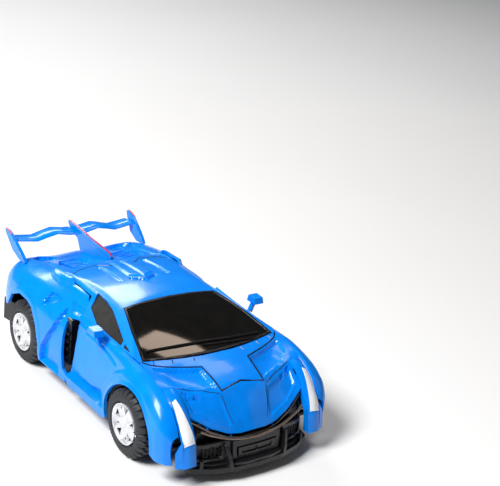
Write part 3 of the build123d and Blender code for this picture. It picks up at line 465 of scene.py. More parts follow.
def build_arms():
    def chart(points):
        return to_chart(ARM_SECTIONS, ARM_GIRTH, points)

    top = [(y, ARM_GIRTH) for y in np.linspace(3.8, -59, 24)]
    edge = [(-59, ARM_GIRTH * k) for k in (0.8, 0.6, 0.4, 0.2, 0)]
    sill = [(-22.8, 7), (-20.6, 6.6), (-8, 6.6), (1.2, 6.6), (3, 8.2), (3.8, 11), (3.2, 17), (3.8, 25)]
    low = chart([(-57.2, 7.8), (-52.8, 7.8)] + front_arch_line(0, 192, -18) + sill)
    lines = [chart(dense(line, 1.2)) for line in (SCOOP[1:9], BELT)]
    lines += [chart(dense([(-22.6, z), (3, z)], 2)) for z in (10.7, 9.9)]
    lines += [chart(front_arch_line(*part)) for part in ((3.4, 80, -8), (4.5, 80, -4), (1, 176, -10))]
    right = skin("door_and_fender_right", top + edge + low, place_arm, "blue_plastic", "arm_right",
        (1, 0, 0.3), lines=lines, step=0.62, thick=1)
    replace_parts(right, "side_panel_right")
    left = other_side(right, "arm_left")
    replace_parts(left, "side_panel_left")
    well = skin("wheel_well_right", [(24.1, -1), (32.2, -1), (32.2, 31.5), (24.1, 31.5)], place_well,
        "black_plastic", "arm_right", (0, 0, 1), step=1.2, thick=0.35, bevel=0)
    other_side(well, "arm_left")


# ---- hood, lights and cowl
# for each distance from the middle: (y, z) along the hood, and which of these keep a corner
HOOD_COLUMNS = [
    (0, [(-61.4, 12.4), (-60.5, 14), (-56.8, 20.8), (-50.9, 27.4), (-46, 29.2), (-41.8, 30.4), (-37.4, 31.2),
        (-30, 33)], (3, 5)),
    (8.3, [(-61.2, 12.6), (-60.1, 14.4), (-57, 19.6), (-54.4, 23.8), (-52.6, 26.4), (-47, 28.5),
        (-41.8, 29.9), (-36.9, 31.1), (-30, 32.6)], (3, 4, 6)),
    (14, [(-60.2, 14.4), (-58.9, 16.6), (-55.8, 21.2), (-52.6, 24.8), (-50.4, 26.7), (-46, 27.7),
        (-40.1, 29.9), (-35.9, 31.1), (-30, 32.4)], (3, 4, 6)),
    (20, [(-58.4, 17.6), (-56.8, 20), (-54, 22.9), (-50, 25.9), (-47.8, 27.5), (-43, 28.3), (-37.9, 30.2),
        (-34.6, 31.1), (-30, 32)], (3, 4, 6)),
    (24, [(-57, 20), (-55, 22.6), (-52, 25), (-48.4, 27.2), (-46.4, 28.2), (-42, 29.2), (-36, 30.6),
        (-33.4, 31.1), (-28, 31.7)], (3, 4, 6)),
    (27.4, [(-57, 19.4), (-55, 22), (-52, 24.6), (-48, 27.2), (-45.6, 28.3), (-42, 29.5), (-35, 30.7),
        (-33, 30.9), (-28, 31.2)], (3, 4, 6)),
]
WING_SEAM = [(26.6, -33.4), (24.6, -35.7), (21.5, -37.3), (17, -39), (12.6, -40.6), (9.2, -41.8)]
TONGUE = [(9.2, -41.8), (8.6, -47.5), (8.3, -52.6), (4, -51.6), (0, -50.9)]
SUNK_PANEL = [(9.6, -42.2), (13, -41.2), (21.6, -37.9), (25.2, -36.4), (24.8, -42.6), (20.6, -46.2),
    (14.2, -49), (9, -51.6)]
NOSE_PANEL = [(8.9, -54), (21.2, -49.6), (20.6, -54.4), (15.6, -57.2), (7.4, -59.2)]
TONGUE_HALF = 8.3
NOTCH_X = 22.4
VENTS = [[(18.9, -49.6), (21.4, -48.2), (21.7, -49.2), (19.2, -50.6)],
         [(15.6, -51.4), (17.9, -50.2), (18.2, -51.3), (15.9, -52.5)]]


def hood_height(x, y):
    rows = np.array([curve(knots, y, sharp) for _, knots, sharp in HOOD_COLUMNS])
    return across([column[0] for column in HOOD_COLUMNS], rows, np.abs(x), sharp=(1,), flat_start=True)


def place_hood(x, y):
    """Hood and cowl: the swept level, less vents, sunk panels and the nose's ridge."""
    z = hood_height(x, y)
    for vent in VENTS:
        z = z - 1.1 * within(vent, pairs(x, y), 0.3)
    folded = pairs(np.abs(x), y)
    z = z - 0.9 * within(SUNK_PANEL, folded, 0.9)
    ridge = (1 - np.clip(np.abs(x) / TONGUE_HALF, 0, 1)) * step_up(-y, 51, 53)
    z = z + 0.7 * ridge - 0.7 * within(NOSE_PANEL, folded, 0.7)
    lip = np.interp(x, [0, 5, 10, 15, 19, NOTCH_X], [-60.8, -60.6, -59.9, -58.7, -57.2, -55.7])
    z = z + 0.25 * (1 - step_up(y - lip, 0.5, 1.1)) * (x < NOTCH_X)
    return x, y, z


def grown(line, dx, dy):
    return [(x + dx, y + dy) for x, y in line]


COLUMN_LINE = [(0, (-61.7, 11.5)), (2.5, (-61.3, 13.9)), (6, (-60, 17.2)), (11, (-57, 21.2)),
    (16, (-53.4, 24.8)), (20, (-50, 26.9)), (23, (-47.2, 27.9))]


def place_column(lift):
    """The headlight column: x across it, t along its front line."""
    def place(x, t):
        y, z = (curve([(at, point[k]) for at, point in COLUMN_LINE], t) for k in (0, 1))
        crown = 0.5 - 0.14 * (x - 24.6) ** 2 + lift
        return x, y - 0.75 * crown, z + 0.6 * crown
    return place


def build_front():
    crease = [(8.4, -54.4), (14, -52.6), (20, -50), (22.2, -49.2)]
    upper = [(8.5, -52.6), (14, -50.4), (20, -47.8), (27.2, -45.6)]
    fold = [(8.3, -54.4), (7.6, -56.6), (6.5, -58.8)]
    outline = [(0, -60.8), (5, -60.6), (10, -59.9), (15, -58.7), (19, -57.2), (22.35, -55.7), (22.35, -50),
        (27.45, -50), (27.45, -33.3), (26.9, -33.3)]
    outline += grown(WING_SEAM[1:], 0.1, -0.22) + [(8.85, -47.5), (8.55, -52.85), (4, -51.85), (0, -51.15)]
    lines = [crease, upper, fold, SUNK_PANEL[2:], NOSE_PANEL] + [vent + vent[:1] for vent in VENTS]
    hood = skin("hood_skin", outline, place_hood, "blue_plastic", "chest", (0, -0.3, 1), lines=lines, thick=1,
        mirrored=True, angle=12)
    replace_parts(hood, "hood_shell")

    rear_edge = [(0, -37.5), (6, -37.3), (12, -36.5), (18, -35.3), (23, -34), (26.4, -33)]
    cowl = skin("cowl_skin", rear_edge + grown(WING_SEAM[1:], -0.05, 0.08) + TONGUE[1:], place_hood,
        "blue_plastic", "head", (0, -0.3, 1), lines=[[(0.2, -41.8), (9, -41.8)]], thick=1, mirrored=True,
        angle=12)
    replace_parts(cowl, "cowl_panel")

    column = skin("light_column_right", [(22.4, -4), (27.3, -4), (27.45, 12), (27.45, 23), (22.6, 23),
        (22.3, 10)], place_column(0), "blue_plastic", "chest", (0, -1, 0.5), step=0.7, thick=1)
    other_side(column, "chest")
    cheek = prism("column_cheek_right", [(-62.3, 7.7), (-61.6, 11.5), (-60.3, 16.8), (-55.6, 22), (-52, 24.8),
        (-52, 22), (-56, 18), (-58.6, 14), (-59.4, 7.7)], lambda y, z, k: (22.3 + 0.8 * k, y, z),
        "blue_plastic", "chest")
    other_side(cheek, "chest")
    foot = skin("column_foot_right", [(27.2, 7.7), (29.4, 7.7), (29.4, 12.4), (28.4, 14.8), (27.3, 16.4)],
        lambda x, z: (x, -62 + 0.5 * (x - 27.2) + 0.12 * (z - 7.7), z), "blue_plastic", "chest", (0, -1, 0),
        step=0.8, thick=0.8)
    other_side(foot, "chest")
    lens = skin("headlight_right", [(22.9, 3.8), (26.9, 3.4), (27.05, 8), (26.9, 13), (26.6, 18),
        (25.2, 18.8), (24.2, 12.6), (23.3, 7.4)], place_column(0.18), "white_lens", "chest", (0, -1, 0.5),
        step=0.8, thick=0.6)
    other_side(lens, "chest")
    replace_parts(lens, "headlights")


# ---- greenhouse
SIDE_GLASS = [(20, 7.3), (24.5, 4.1), (27.2, -5), (27.5, -21.4), (25.9, -20.4), (21.3, -5.4), (20.2, 1)]
QUARTER_GLASS = [(26.35, -22.2), (27.5, -23), (27.35, -27.2)]
SCREEN = [(0, -37.1), (10, -36.3), (18, -34.9), (25.9, -32.9), (25.2, -30.2), (22.3, -19.2), (18.3, -7.2),
    (9, -6.3), (0, -6)]
ROOF_REAR = [(21.6, 24), (17, 27.5), (9, 28.6), (5.2, 24.6), (2, 25.4), (0, 27.6)]
ROOF_MOUTH = [(-0.1, 5), (6.2, 10), (5.2, 11.4), (-0.1, 8.8)]
ROOF_TUNNEL = [(-0.1, 9.6), (5.2, 12.2), (4.2, 28), (-0.1, 28)]
ROOF_GUTTER = [(8.6, 9), (11.4, 10.4), (10.4, 27), (8.2, 27)]
ROOF_TOP = [(-12, 37.9), (0, 38.5), (8, 38.75), (16, 38.5), (24, 37.8), (31, 36.8)]
SCREEN_FOOT_Y = -37.2
SCREEN_RUN = 31.6


def roof_height(x, y):
    """The lowest of the windscreen, side and top planes, with their meeting edges eased."""
    x = np.abs(x)
    rise = np.clip((y - SCREEN_FOOT_Y) / SCREEN_RUN, 0, 1)
    along = (y - 4.3 * (x / 26) ** 2 * (1 - rise) - SCREEN_FOOT_Y) / SCREEN_RUN
    screen = 31.3 + 6.75 * along + 0.5 * np.sin(np.pi * np.clip(along, 0, 1)) - 0.3 * (x / 20) ** 2
    side = 37.75 - 0.69 * (x - 18.6)
    top = curve(ROOF_TOP, y) - 0.9 * (x / 18) ** 2
    soft, safe = 0.12, 240
    return -soft * np.log(sum(np.exp(-plane / soft + safe) for plane in (screen, side, top))) + soft * safe


def place_roof(lift, styled=False):
    """Roof, windscreen and side windows; styled adds the roof's mouth, tunnel, gutters and rails."""
    def place(x, y):
        z = roof_height(x, y) + lift
        if styled:
            flat, out = pairs(x, y), np.abs(x)
            z = z - within(ROOF_MOUTH, flat, 0.5) + 0.5 * within(ROOF_TUNNEL, flat, 0.9)
            z = z - 0.55 * within(ROOF_GUTTER, flat, 0.8)
            z = z + 0.4 * step_up(out, 19.6, 20.6) * (1 - step_up(out, 20.6, 23.5)) * step_up(y, -3, 6)
        return x, y, z
    return place


def on_roof(plan, lift):
    """Points a little above the bare roof and windscreen."""
    return [(x, y, float(roof_height(np.array([x]), np.array([y]))[0]) + lift) for x, y in plan]


def build_cabin():
    outline = [(0, -5.8), (9, -6.1), (18.5, -7), (22.6, -19.2), (25.5, -30.2), (26.3, -33.2), (27.3, -32.6),
        (27.9, -29), (27.9, 3.2), (25.6, 5.2), (21.9, 8.4), (21.7, 24), (21.6, 31.1), (0, 31.1)]
    lines = [[p for p in shape if p[0] > 0] for shape in (ROOF_MOUTH, ROOF_TUNNEL, ROOF_GUTTER)]
    lines.append(ROOF_REAR[1:-1])
    roof = skin("roof_skin", outline, place_roof(0, True), "blue_plastic", "cabin", (0, 0, 1),
        holes=[SIDE_GLASS, QUARTER_GLASS], lines=lines, step=0.62, thick=1, mirrored=True, angle=22)
    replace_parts(roof, "cabin_shell")
    glass = skin("windscreen", SCREEN, place_roof(-0.12), "smoked_glass", "cabin", (0, 0, 1), step=1,
        thick=0.7, mirrored=True)
    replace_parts(glass, "windshield")
    inner = [(0, -36.2), (10, -35.4), (18, -34), (24.6, -32.2), (24.2, -30.2), (21.4, -19.4), (17.5, -8.1),
        (9, -7.2), (0, -6.9)]
    skin("windscreen_border", SCREEN + inner[::-1], place_roof(0.03), "black_plastic", "cabin", (0, 0, 1),
        step=0.9, thick=0.3, mirrored=True, bevel=0)
    side = skin("side_glass", SIDE_GLASS, place_roof(-0.35), "dark_window", "cabin", (1, 0, 1), step=1,
        thick=0.6, mirrored=True)
    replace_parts(side, "side_windows")
    skin("quarter_glass", QUARTER_GLASS, place_roof(-0.35), "dark_window", "cabin", (1, 0, 1), step=0.8,
        thick=0.6, mirrored=True)
    wiper = on_roof(((-22.8, -29.6), (-12, -31), (-2, -31.9), (8, -32.6), (20, -32.2)), 0.3)
    arm = tube("wiper_blade", wiper, 0.42, "black_plastic", "cabin", flat=0.6)
    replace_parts(arm, "wiper_arm")
    link = on_roof([(x, y - 1.3) for x, y in ((-3, -32.1), (8, -33.1), (17, -33.1))], 0.22)
    tube("wiper_link", link, 0.3, "black_plastic", "cabin", flat=0.7)


build_arms()
build_front()
build_cabin()


# ---- rear body: quarter panels and deck
REAR_GIRTH = 60
REAR_SECTIONS = [
    (4.4, [(33, 6.6), (33.2, 12), (32.9, 18), (31.6, 24), (28.8, 29.2), (24.8, 33), (21.6, 35.4), (11, 36),
        (0, 36.2)]),
    (12, [(33.3, 6.6), (33.6, 12), (33.3, 18), (31.9, 24.4), (28.6, 30), (24.6, 33.6), (21.6, 35.9),
        (11, 36.2), (0, 36.4)]),
    (22, [(33.6, 6.6), (33.8, 12), (33.6, 19), (32.2, 25.4), (28.8, 30.9), (24.6, 33.9), (21.4, 35.6),
        (11, 36), (0, 36.3)]),
    (31, [(33.7, 6.8), (33.9, 13), (33.8, 20), (32.7, 26.4), (29.2, 31.4), (24.6, 33.9), (21, 34.9),
        (11, 34.9), (0, 35.6)]),
    (40, [(33.7, 7.6), (33.9, 13), (33.7, 20.5), (32.7, 26.6), (29.4, 31), (24.8, 33.2), (20, 33.7),
        (11, 33.3), (0, 34.2)]),
    (49, [(33, 13.6), (33.1, 17), (32.8, 21.5), (31.8, 26.2), (28.9, 30), (24.6, 31.8), (19.4, 32),
        (11, 31.2), (0, 32.2)]),
    (56, [(30.6, 16.5), (30.8, 18), (30.5, 22), (29.7, 25.8), (27.2, 28.9), (23.4, 30.5), (18, 30.6),
        (10, 29.6), (0, 30.4)]),
    (60.6, [(26, 16.5), (26.2, 18), (26.1, 21.6), (25.4, 24.6), (23.6, 27), (20.6, 28.3), (16, 28.5), (9, 28),
        (0, 28.4)]),
    (61.9, [(23.4, 17.4), (23.6, 18.6), (23.4, 21.4), (22.8, 23.8), (21.4, 25.6), (19, 26.6), (15, 26.8),
        (9, 26.6), (0, 26.8)]),
]
REAR_ARCH = [(23.4, 6.6), (23.6, 12.8), (26, 19), (30.2, 23.8), (34, 25), (40, 25.2), (46.2, 22.4),
    (49.4, 17)]
INTAKE_EDGE = [(6.4, 10.6), (8, 18), (9.7, 27.2), (8.2, 28.6)]
SHOULDER_PLANE = [(13.2, 30.6), (16.4, 22), (21.6, 13), (22.2, 7), (8.6, 7), (8.8, 12), (11, 20), (11.8, 29)]
HIP_HUMP = [(21.2, 19), (24.6, 21.5), (25.4, 25), (25.4, 30.4), (24.6, 33), (21.2, 34.2)]
DECK_RECESS = [(8.4, 33.4), (15.6, 34), (17.2, 41), (14, 47), (6, 47), (5, 40)]
DECK_BAY = [(11.6, 49.6), (20, 48.4), (21.4, 53.6), (17, 57), (11, 56)]
CORNER_FACET = [(5.4, 30), (10.4, 29.8), (13.6, 32.4), (6, 32.2)]
PILLAR_FACET = [(17.2, 31.4), (25.6, 26.4), (24.6, 31.6)]
ROOF_GROOVE = [(21.6, 24), (19.6, 36), (18.6, 46)]


def place_rear(y, around):
    """The rear body from its flat chart: y, and the distance round the section."""
    x, z = flank(REAR_SECTIONS, REAR_GIRTH, y, around)
    side, plan = pairs(y, z), pairs(x, y)
    flankness = step_up(x, 24, 27)
    facets = 1.7 * within(SHOULDER_PLANE, side, 0.6) + 1.5 * within(PILLAR_FACET, side, 0.5)
    x = x - flankness * (facets + 1.1 * within(CORNER_FACET, side, 0.4))
    arch = distance(side, REAR_ARCH)
    x = x + 0.25 * (1 - step_up(arch, 1.6, 2.2)) * step_up(z, 7.5, 9) - 0.25 * flankness
    top = 1 - flankness
    z = z - top * (1.5 * within(DECK_RECESS, plan, 0.5) + 1.3 * within(DECK_BAY, plan, 0.5))
    z = z + 1.9 * within(HIP_HUMP, plan, 1)
    z = z - top * 0.5 * (1 - step_up(distance(plan, ROOF_GROOVE), 0, 0.7))
    return x, y, z


def plan_chart(points):
    """Turn (x, y) points on the deck into the rear body's flat chart."""
    out = []
    steps = np.linspace(0, 8, 240)
    for x, y in points:
        xs, _ = section_rows(REAR_SECTIONS, np.full(240, y))
        width = across(range(9), xs, steps)
        beyond = steps > 4
        out.append((y, float(np.interp(-x, -width[beyond], steps[beyond])) / 8 * REAR_GIRTH))
    return out


def build_rear():
    def chart(points):
        return to_chart([(y, s[:6]) for y, s in REAR_SECTIONS], REAR_GIRTH * 5 / 8, points)

    front = [(4.4, 0)] + chart(dense([(4.4, 9.8)] + INTAKE_EDGE + [(4.4, 29.4), (4.4, 32.6)], 1.2))
    seam = plan_chart([(22.4, 9), (22.2, 16), (22.15, 24), (22.05, 32.1), (16, 32.15), (8, 32.15),
        (1, 32.15)])
    tail = [(y, REAR_GIRTH) for y in (32.15, 36, 42, 50, 56, 60.6, 61.9)]
    tail_edge = [(61.9, g) for g in np.linspace(REAR_GIRTH, 0, 24)[1:]]
    low = chart([(60.6, 16.6), (56, 16.6), (50.4, 16.8)] + REAR_ARCH[::-1]) + chart([(20, 6.6), (8, 6.6)])
    outline = front + seam + tail + tail_edge + low
    lines = [chart(SHOULDER_PLANE[:7]), plan_chart(DECK_RECESS), plan_chart(DECK_BAY),
        plan_chart(HIP_HUMP[1:5]), chart([(y, min(z + 2, 27.2)) for y, z in REAR_ARCH[1:]])]
    body = skin("rear_skin", outline, place_rear, "blue_plastic", "chassis", (1, 0, 0.6), lines=lines,
        step=0.7, thick=1, mirrored=True, angle=20)
    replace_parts(body, "rear_body_shell")

    def place_tail(x, z):
        y = 62 - 0.02 * x ** 2 / 10 - 0.5 * step_up(np.abs(x), 14, 24)
        notch = within([(-12, 19.8), (12, 19.8), (10, 24.2), (-10, 24.2)], pairs(x, z), 0.5)
        lamp = within([(12.8, 20.4), (22.6, 20.2), (21.4, 23.8), (13.4, 23.8)], pairs(np.abs(x), z), 0.5)
        return x, y - 0.9 * notch - 0.8 * lamp, z

    half = [(0, 27.2), (9, 27), (15, 27.1), (19.4, 26.8), (21.8, 25.8), (23.2, 23.9), (23.8, 21.4),
        (23.9, 18.4), (23.7, 16.8), (0, 16.8)]
    outline = half + [(-x, z) for x, z in reversed(half[1:-1])]
    skin("tail_panel", outline, place_tail, "blue_plastic", "chassis", (0, 1, 0), step=0.7, thick=0.9)

    lamp = [(13.2, 20.8), (22, 20.6), (21.2, 23.4), (13.8, 23.4)]
    light = skin("tail_light_right", lamp, lambda x, z: (x, 61.6 - 0.5 * step_up(x, 14, 24), z), "red_lens",
        "chassis", (0, 1, 0), step=0.8, thick=0.5)
    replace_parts(light, "tail_lights")
    other_side(light, "chassis")
    for index in range(5):
        z = 20.6 + index * 0.75
        tube(f"tail_bar_{index}", [(-10.6 + index * 0.3, 61.35, z), (10.6 - index * 0.3, 61.35, z)], 0.22,
            "black_plastic", "chassis", sides=6)


def build_deck_parts():
    """Dark backs of the intakes and slats in the deck's recesses."""
    back = skin("intake_back_right", [(4.6, 9.4), (14.6, 9.4), (14.6, 29.8), (4.6, 29.8)], lambda y, z: (27.2,
        y, z), "black_plastic", "chassis", (1, 0, 0), step=3, thick=0.5, bevel=0)
    other_side(back, "chassis")
    for index, y in enumerate((36.4, 38.6, 40.8, 43)):
        z = 33.6 - 0.16 * (y - 34)
        slat = tube(f"deck_slat_{index}", [(7.4, y, z), (14.6, y + 0.8, z + 0.15)], 0.5, "blue_plastic",
            "chassis", sides=8, flat=0.6)
        other_side(slat, "chassis")


def build_wing():
    """Blade, end plates, fin and the coloured edges on them."""
    stations = [(0.7, 37.6, 2.2), (4, 37.7, 1.9), (8.6, 38.5, 1.7), (12.6, 37.6, 1.7), (16.6, 36.5, 1.7),
        (20.6, 37, 1.7), (24.7, 37.5, 1.7)]
    aero = [(0, 0), (0.10, 0.62), (0.35, 0.95), (0.7, 0.75), (1, 0.45), (0.98, 0.05), (0.6, -0.35),
        (0.2, -0.45)]
    verts = []
    for x, z, thick in stations:
        y0 = 57.4 + 0.06 * x
        verts += [(x, y0 + u * (65.2 - y0), z - thick * 0.5 + v * thick * 0.55) for u, v in aero]
    n = len(aero)
    faces = ring_faces(len(stations), n)
    faces += [tuple(range(n)), tuple(reversed(range((len(stations) - 1) * n, len(stations) * n)))]
    blade = piece("wing_blade_skin_right", verts, faces, "blue_plastic", "chassis", 40)
    tidy_normals(blade)
    soften(blade, 0.12, 45)
    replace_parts(blade, "wing_blade")
    other_side(blade, "chassis")

    plate = prism("end_plate_right", [(50.2, 31.5), (52.6, 31.2), (55.4, 31), (60.6, 33), (65, 38.4),
        (65.7, 40.1), (63.8, 40), (61, 39.2), (56.6, 36.4), (52.6, 33.6)], lambda y, z, k: (24.6 + 1.4 * k
        + 0.12 * (z - 31), y, z), "blue_plastic", "chassis")
    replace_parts(plate, "wing_end_plates")
    other_side(plate, "chassis")
    tip = tube("end_plate_tip_right", [(26.4, 60.8, 39.2), (26.55, 63.4, 39.95), (26.6, 65.4, 40)], 0.28,
        "orange_edge", "chassis", sides=6, slot="red_lens")
    other_side(tip, "chassis")
    fin = prism("fin_skin", [(32.3, 37), (34.4, 37.9), (46, 38.5), (62, 39.55), (65.4, 39.4), (64, 37.6),
        (61.4, 36.4), (57.4, 35.2), (55, 31.2), (46.4, 32), (34.6, 34.2), (32.3, 34.6)],
        lambda y, z, k: (-0.75 + 1.5 * k, y, z), "blue_plastic", "chassis")
    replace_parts(fin, "rear_fin")
    tube("fin_red_line", [(0, 32.5, 37.2), (0, 34.4, 38), (0, 46, 38.6), (0, 62, 39.65), (0, 65.2, 39.5)],
        0.3, "red_lens", "chassis", sides=8)


# ---- wheels
WHEEL_X = 33.9
AXLE_Y = 36
AXLE_Z = 11.6
RIM_RADIUS = 6.9
TREAD_BLOCKS = 27
TREAD_LANES = 4
SPOKES = 5


def tyre_mesh():
    """Block-tread tyre about the X axis, its outer face at x = 0."""
    around = 432
    profile = [(-0.9, 7.1), (-0.1, 7.9), (-0.1, 9), (-0.35, 9.9), (-0.9, 10.7), (-1.5, 11.1)]
    profile += [(-1.5 - 6.4 * k / 32, 11.25) for k in range(1, 33)]
    profile += [(-8.5, 10.7), (-9.1, 9.9), (-9.3, 9), (-9.3, 7.9), (-8.6, 7.1), (-6, 6.9), (-3, 6.9)]
    x = np.array([p[0] for p in profile])
    r = np.array([p[1] for p in profile])
    a = np.linspace(0, 2 * np.pi, around, endpoint=False)[:, None]
    lane = (-x - 0.3) / 8.8 * TREAD_LANES
    block = np.floor(np.clip(lane, 0, TREAD_LANES - 0.001))
    phase = (a * TREAD_BLOCKS / (2 * np.pi) + 0.5 * (block % 2) + 0.10 * np.sin(lane * 3)) % 1
    cut = step_up(np.abs(phase - 0.5), 0.30, 0.40)
    seam = 1 - step_up(np.abs((lane + 0.5) % 1 - 0.5), 0.05, 0.14)
    tread = (r > 10.4)[None, :]
    depth = 0.75 * np.maximum(cut, 0.8 * seam) * tread
    shown = r[None, :] + 0.3 * tread - depth
    side = (r > 8.2)[None, :] & (x > -0.6)[None, :]
    ribs = 0.12 * (np.sin(a * 54) > 0) * side
    verts = np.stack([x[None, :] + ribs, shown * np.cos(a), shown * np.sin(a)], axis=2).reshape(-1, 3)
    return verts, ring_faces(around, len(profile), closed=True)


def rim_outline():
    circle = arc(0, 0, RIM_RADIUS, RIM_RADIUS, 0, 351, 40)
    holes = []
    for k in range(SPOKES):
        a = math.radians(90 + 360 / SPOKES * k)
        wedge = [(5.7, 1.35), (2.9, 0), (5.7, -1.35)]
        slot = [(5.8, 0.4), (4.2, 0), (5.5, -0.35)]
        for shape, turn in ((wedge, a), (slot, a + math.radians(31))):
            holes.append([(u * math.cos(turn) - v * math.sin(turn), u * math.sin(turn) + v * math.cos(turn))
                for u, v in shape])
    return circle, holes


def place_rim(y, z):
    r = np.hypot(y, z)
    spoke = np.abs(((np.arctan2(z, y) - math.pi / 2) / (2 * math.pi / SPOKES)) % 1 - 0.5) * 2
    dish = step_up(r, 1.6, 3.2) * (1 - step_up(r, 5.6, 6.4))
    x = -0.5 - 0.9 * dish * (1 - 0.65 * step_up(spoke, 0.35, 0.75))
    x = x + 0.35 * step_up(r, 6.2, 6.5) - 0.3 * (1 - step_up(r, 0.7, 0.9))
    return x, y, z


def build_wheels():
    tyre_verts, tyre_faces = tyre_mesh()
    circle, holes = rim_outline()
    for label, side in (("right", 1), ("left", -1)):
        for end, y, body in (("front", -AXLE_Y, f"front_wheel_{label}"), ("rear", AXLE_Y, "rear_wheels")):
            flip = np.array([side, 1, 1])
            centre = np.array([side * WHEEL_X, y, AXLE_Z])

            def at_wheel(columns):
                return (xyz(*columns) * flip + centre).T

            def bar(name, start, stop, radius, sides, bevel):
                ends = [centre + flip * (start, 0, 0), centre + flip * (stop, 0, 0)]
                made = tube(f"{end}_{name}_{label}", ends, radius, "silver_rim", body, sides=sides)
                soften(made, bevel, 50)

            order = tyre_faces if side > 0 else [f[::-1] for f in tyre_faces]
            tyre = piece(f"{end}_tyre_skin_{label}", tyre_verts * flip + centre, order, "tyre_rubber", body,
                38)
            tidy_normals(tyre)
            rim = skin(f"{end}_rim_skin_{label}", circle, lambda v, w: at_wheel(place_rim(v, w)),
                "silver_rim", body, (side, 0, 0), holes=holes, step=0.32, thick=0.7, angle=28, bevel=0.08)
            skin(f"{end}_rim_cup_{label}", arc(0, 0, 6.7, 6.7, 0, 345, 24), lambda v, w: at_wheel((-2.6, v,
                w)), "black_plastic", body, (side, 0, 0), step=1.2, thick=0.5, bevel=0)
            bar("hub_cap", -0.9, -0.25, 1, 20, 0.2)
            bar("rim_barrel", -8.6, -2.9, 6.85, 48, 0.3)
            if end == "front":
                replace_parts(tyre, f"front_tyre_{label}")
                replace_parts(rim, f"front_rim_{label}")
            else:
                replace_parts(tyre, "rear_tyres")
                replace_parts(rim, "rear_rims")


build_rear()
build_deck_parts()
build_wing()
build_wheels()


# ---- nose: bumper, mesh, struts and trim lines
NOSE_PLAN = [(0, -62.7), (9.6, -62.2), (18, -60.5), (21.2, -58.7)]
LIP_PLAN = [(0, -60.8), (5, -60.6), (10, -59.9), (15, -58.7), (19, -57.2), (22.2, -55.8)]
MESH_POCKET = [(11.9, 7.4), (20.4, 7.9), (20.5, 11.5), (12.7, 12.2)]
MESH_PITCH = (1.32, 1.14)
MESH_HOLE = 0.58
BUTTON_RECESS = [(-0.1, 8.7), (6, 8.8), (6.2, 10.2), (-0.1, 10.3)]


def plan_y(plan, x):
    """y of a symmetrical edge, given as (x, y) points, at each x."""
    return np.interp(np.abs(x), *zip(*plan))


def place_bumper(x, z):
    centre = 1 - step_up(x, 9.2, 9.8)
    pocket = within(MESH_POCKET, pairs(x, z), 0.45)
    return x, plan_y(NOSE_PLAN, x) - 0.9 * centre + 1.7 * pocket + 0.10 * (z - 10), z


def place_button(x, z):
    return x, plan_y(NOSE_PLAN, x) - 1.3 + 0.55 * within(BUTTON_RECESS, pairs(x, z), 0.3), z


def build_nose():
    outline = [(0, 6.7), (9.6, 6.7), (21.1, 6.9), (21.1, 12.6), (13, 13.2), (9.6, 13.3), (0, 13.3), (0, 11.3),
        (7.9, 11.2), (7.6, 7.7), (0, 7.6)]
    bumper = skin("bumper_skin", outline, place_bumper, "grey_trim", "chest", (0, -1, 0),
        lines=[[(9.2, 6.9), (9.2, 13)], [(9.8, 6.9), (9.8, 13)], MESH_POCKET + MESH_POCKET[:1]],
        mirrored=True, angle=22)
    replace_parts(bumper, "front_grille")
    skin("bumper_back", [(0, 6.8), (9.4, 6.8), (9.4, 12.8), (0, 12.8)], lambda x, z: (x, -60.1, z),
        "black_plastic", "chest", (0, -1, 0), step=2, thick=0.5, mirrored=True, bevel=0)

    holes = []
    corners = [k * math.pi / 3 for k in range(6)]
    for row in range(4):
        for column in range(6):
            x = 13.6 + MESH_PITCH[0] * column
            z = 8.15 + MESH_PITCH[1] * row + MESH_PITCH[1] / 2 * (column % 2)
            if z < 11.4:
                holes.append([(x + MESH_HOLE * math.cos(a), z + MESH_HOLE * math.sin(a)) for a in corners])
    mesh_edge = [(12.4, 7.5), (20.4, 7.9), (20.5, 11.6), (13, 12.1)]
    skin("grille_mesh", mesh_edge, lambda x, z: (x, plan_y(NOSE_PLAN, x) + 0.75, z), "black_plastic", "chest",
        (0, -1, 0), holes=[h for h in holes if max(p[0] for p in h) < 20.3], step=0.7, thick=0.35,
        mirrored=True, bevel=0)

    edge = [(0, 7.9), (7.1, 8), (7.4, 10.9), (0, 11)]
    button = skin("crash_plate", edge, place_button, "grey_trim", "crash_button", (0, -1, 0),
        lines=[BUTTON_RECESS[1:3]], step=0.5, mirrored=True, angle=22)
    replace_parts(button, "bumper_button")

    profile = [(-62.2, 12.6), (-63.4, 12.4), (-65.1, 8), (-65.6, 5.3), (-65.2, 3.95), (-61.6, 3.95),
        (-61.4, 9)]
    strut = prism("nose_strut_right", profile, lambda y, z, k: (9.5 + 0.2 * (z - 4) + 1.2 * k, y + 0.3 * k,
        z), "grey_trim", "chest")
    other_side(strut, "chest")
    prism("nose_step", [(-9.4, -62), (-9.4, -64.9), (-5, -65.7), (5, -65.7), (9.4, -64.9), (9.4, -62)],
        lambda x, y, k: (x, y, 5.2 + 1.5 * k), "grey_trim", "chest", bevel=0.3)
    lip_x = np.linspace(-22, 22, 45)
    lip_y = plan_y(LIP_PLAN, lip_x)
    lip_z = hood_height(lip_x, lip_y)
    tube("lip_trim", xyz(lip_x, lip_y + 0.15, lip_z - 1.25), 0.36, "bronze_line", "chest", sides=8,
        slot="grey_trim")
    low_x = lip_x[np.abs(lip_x) < 20.6]
    tube("lower_trim", xyz(low_x, plan_y(NOSE_PLAN, low_x) - 0.25, 13.1 + 0.012 * low_x ** 2), 0.42,
        "bronze_line", "chest", sides=8, slot="grey_trim")


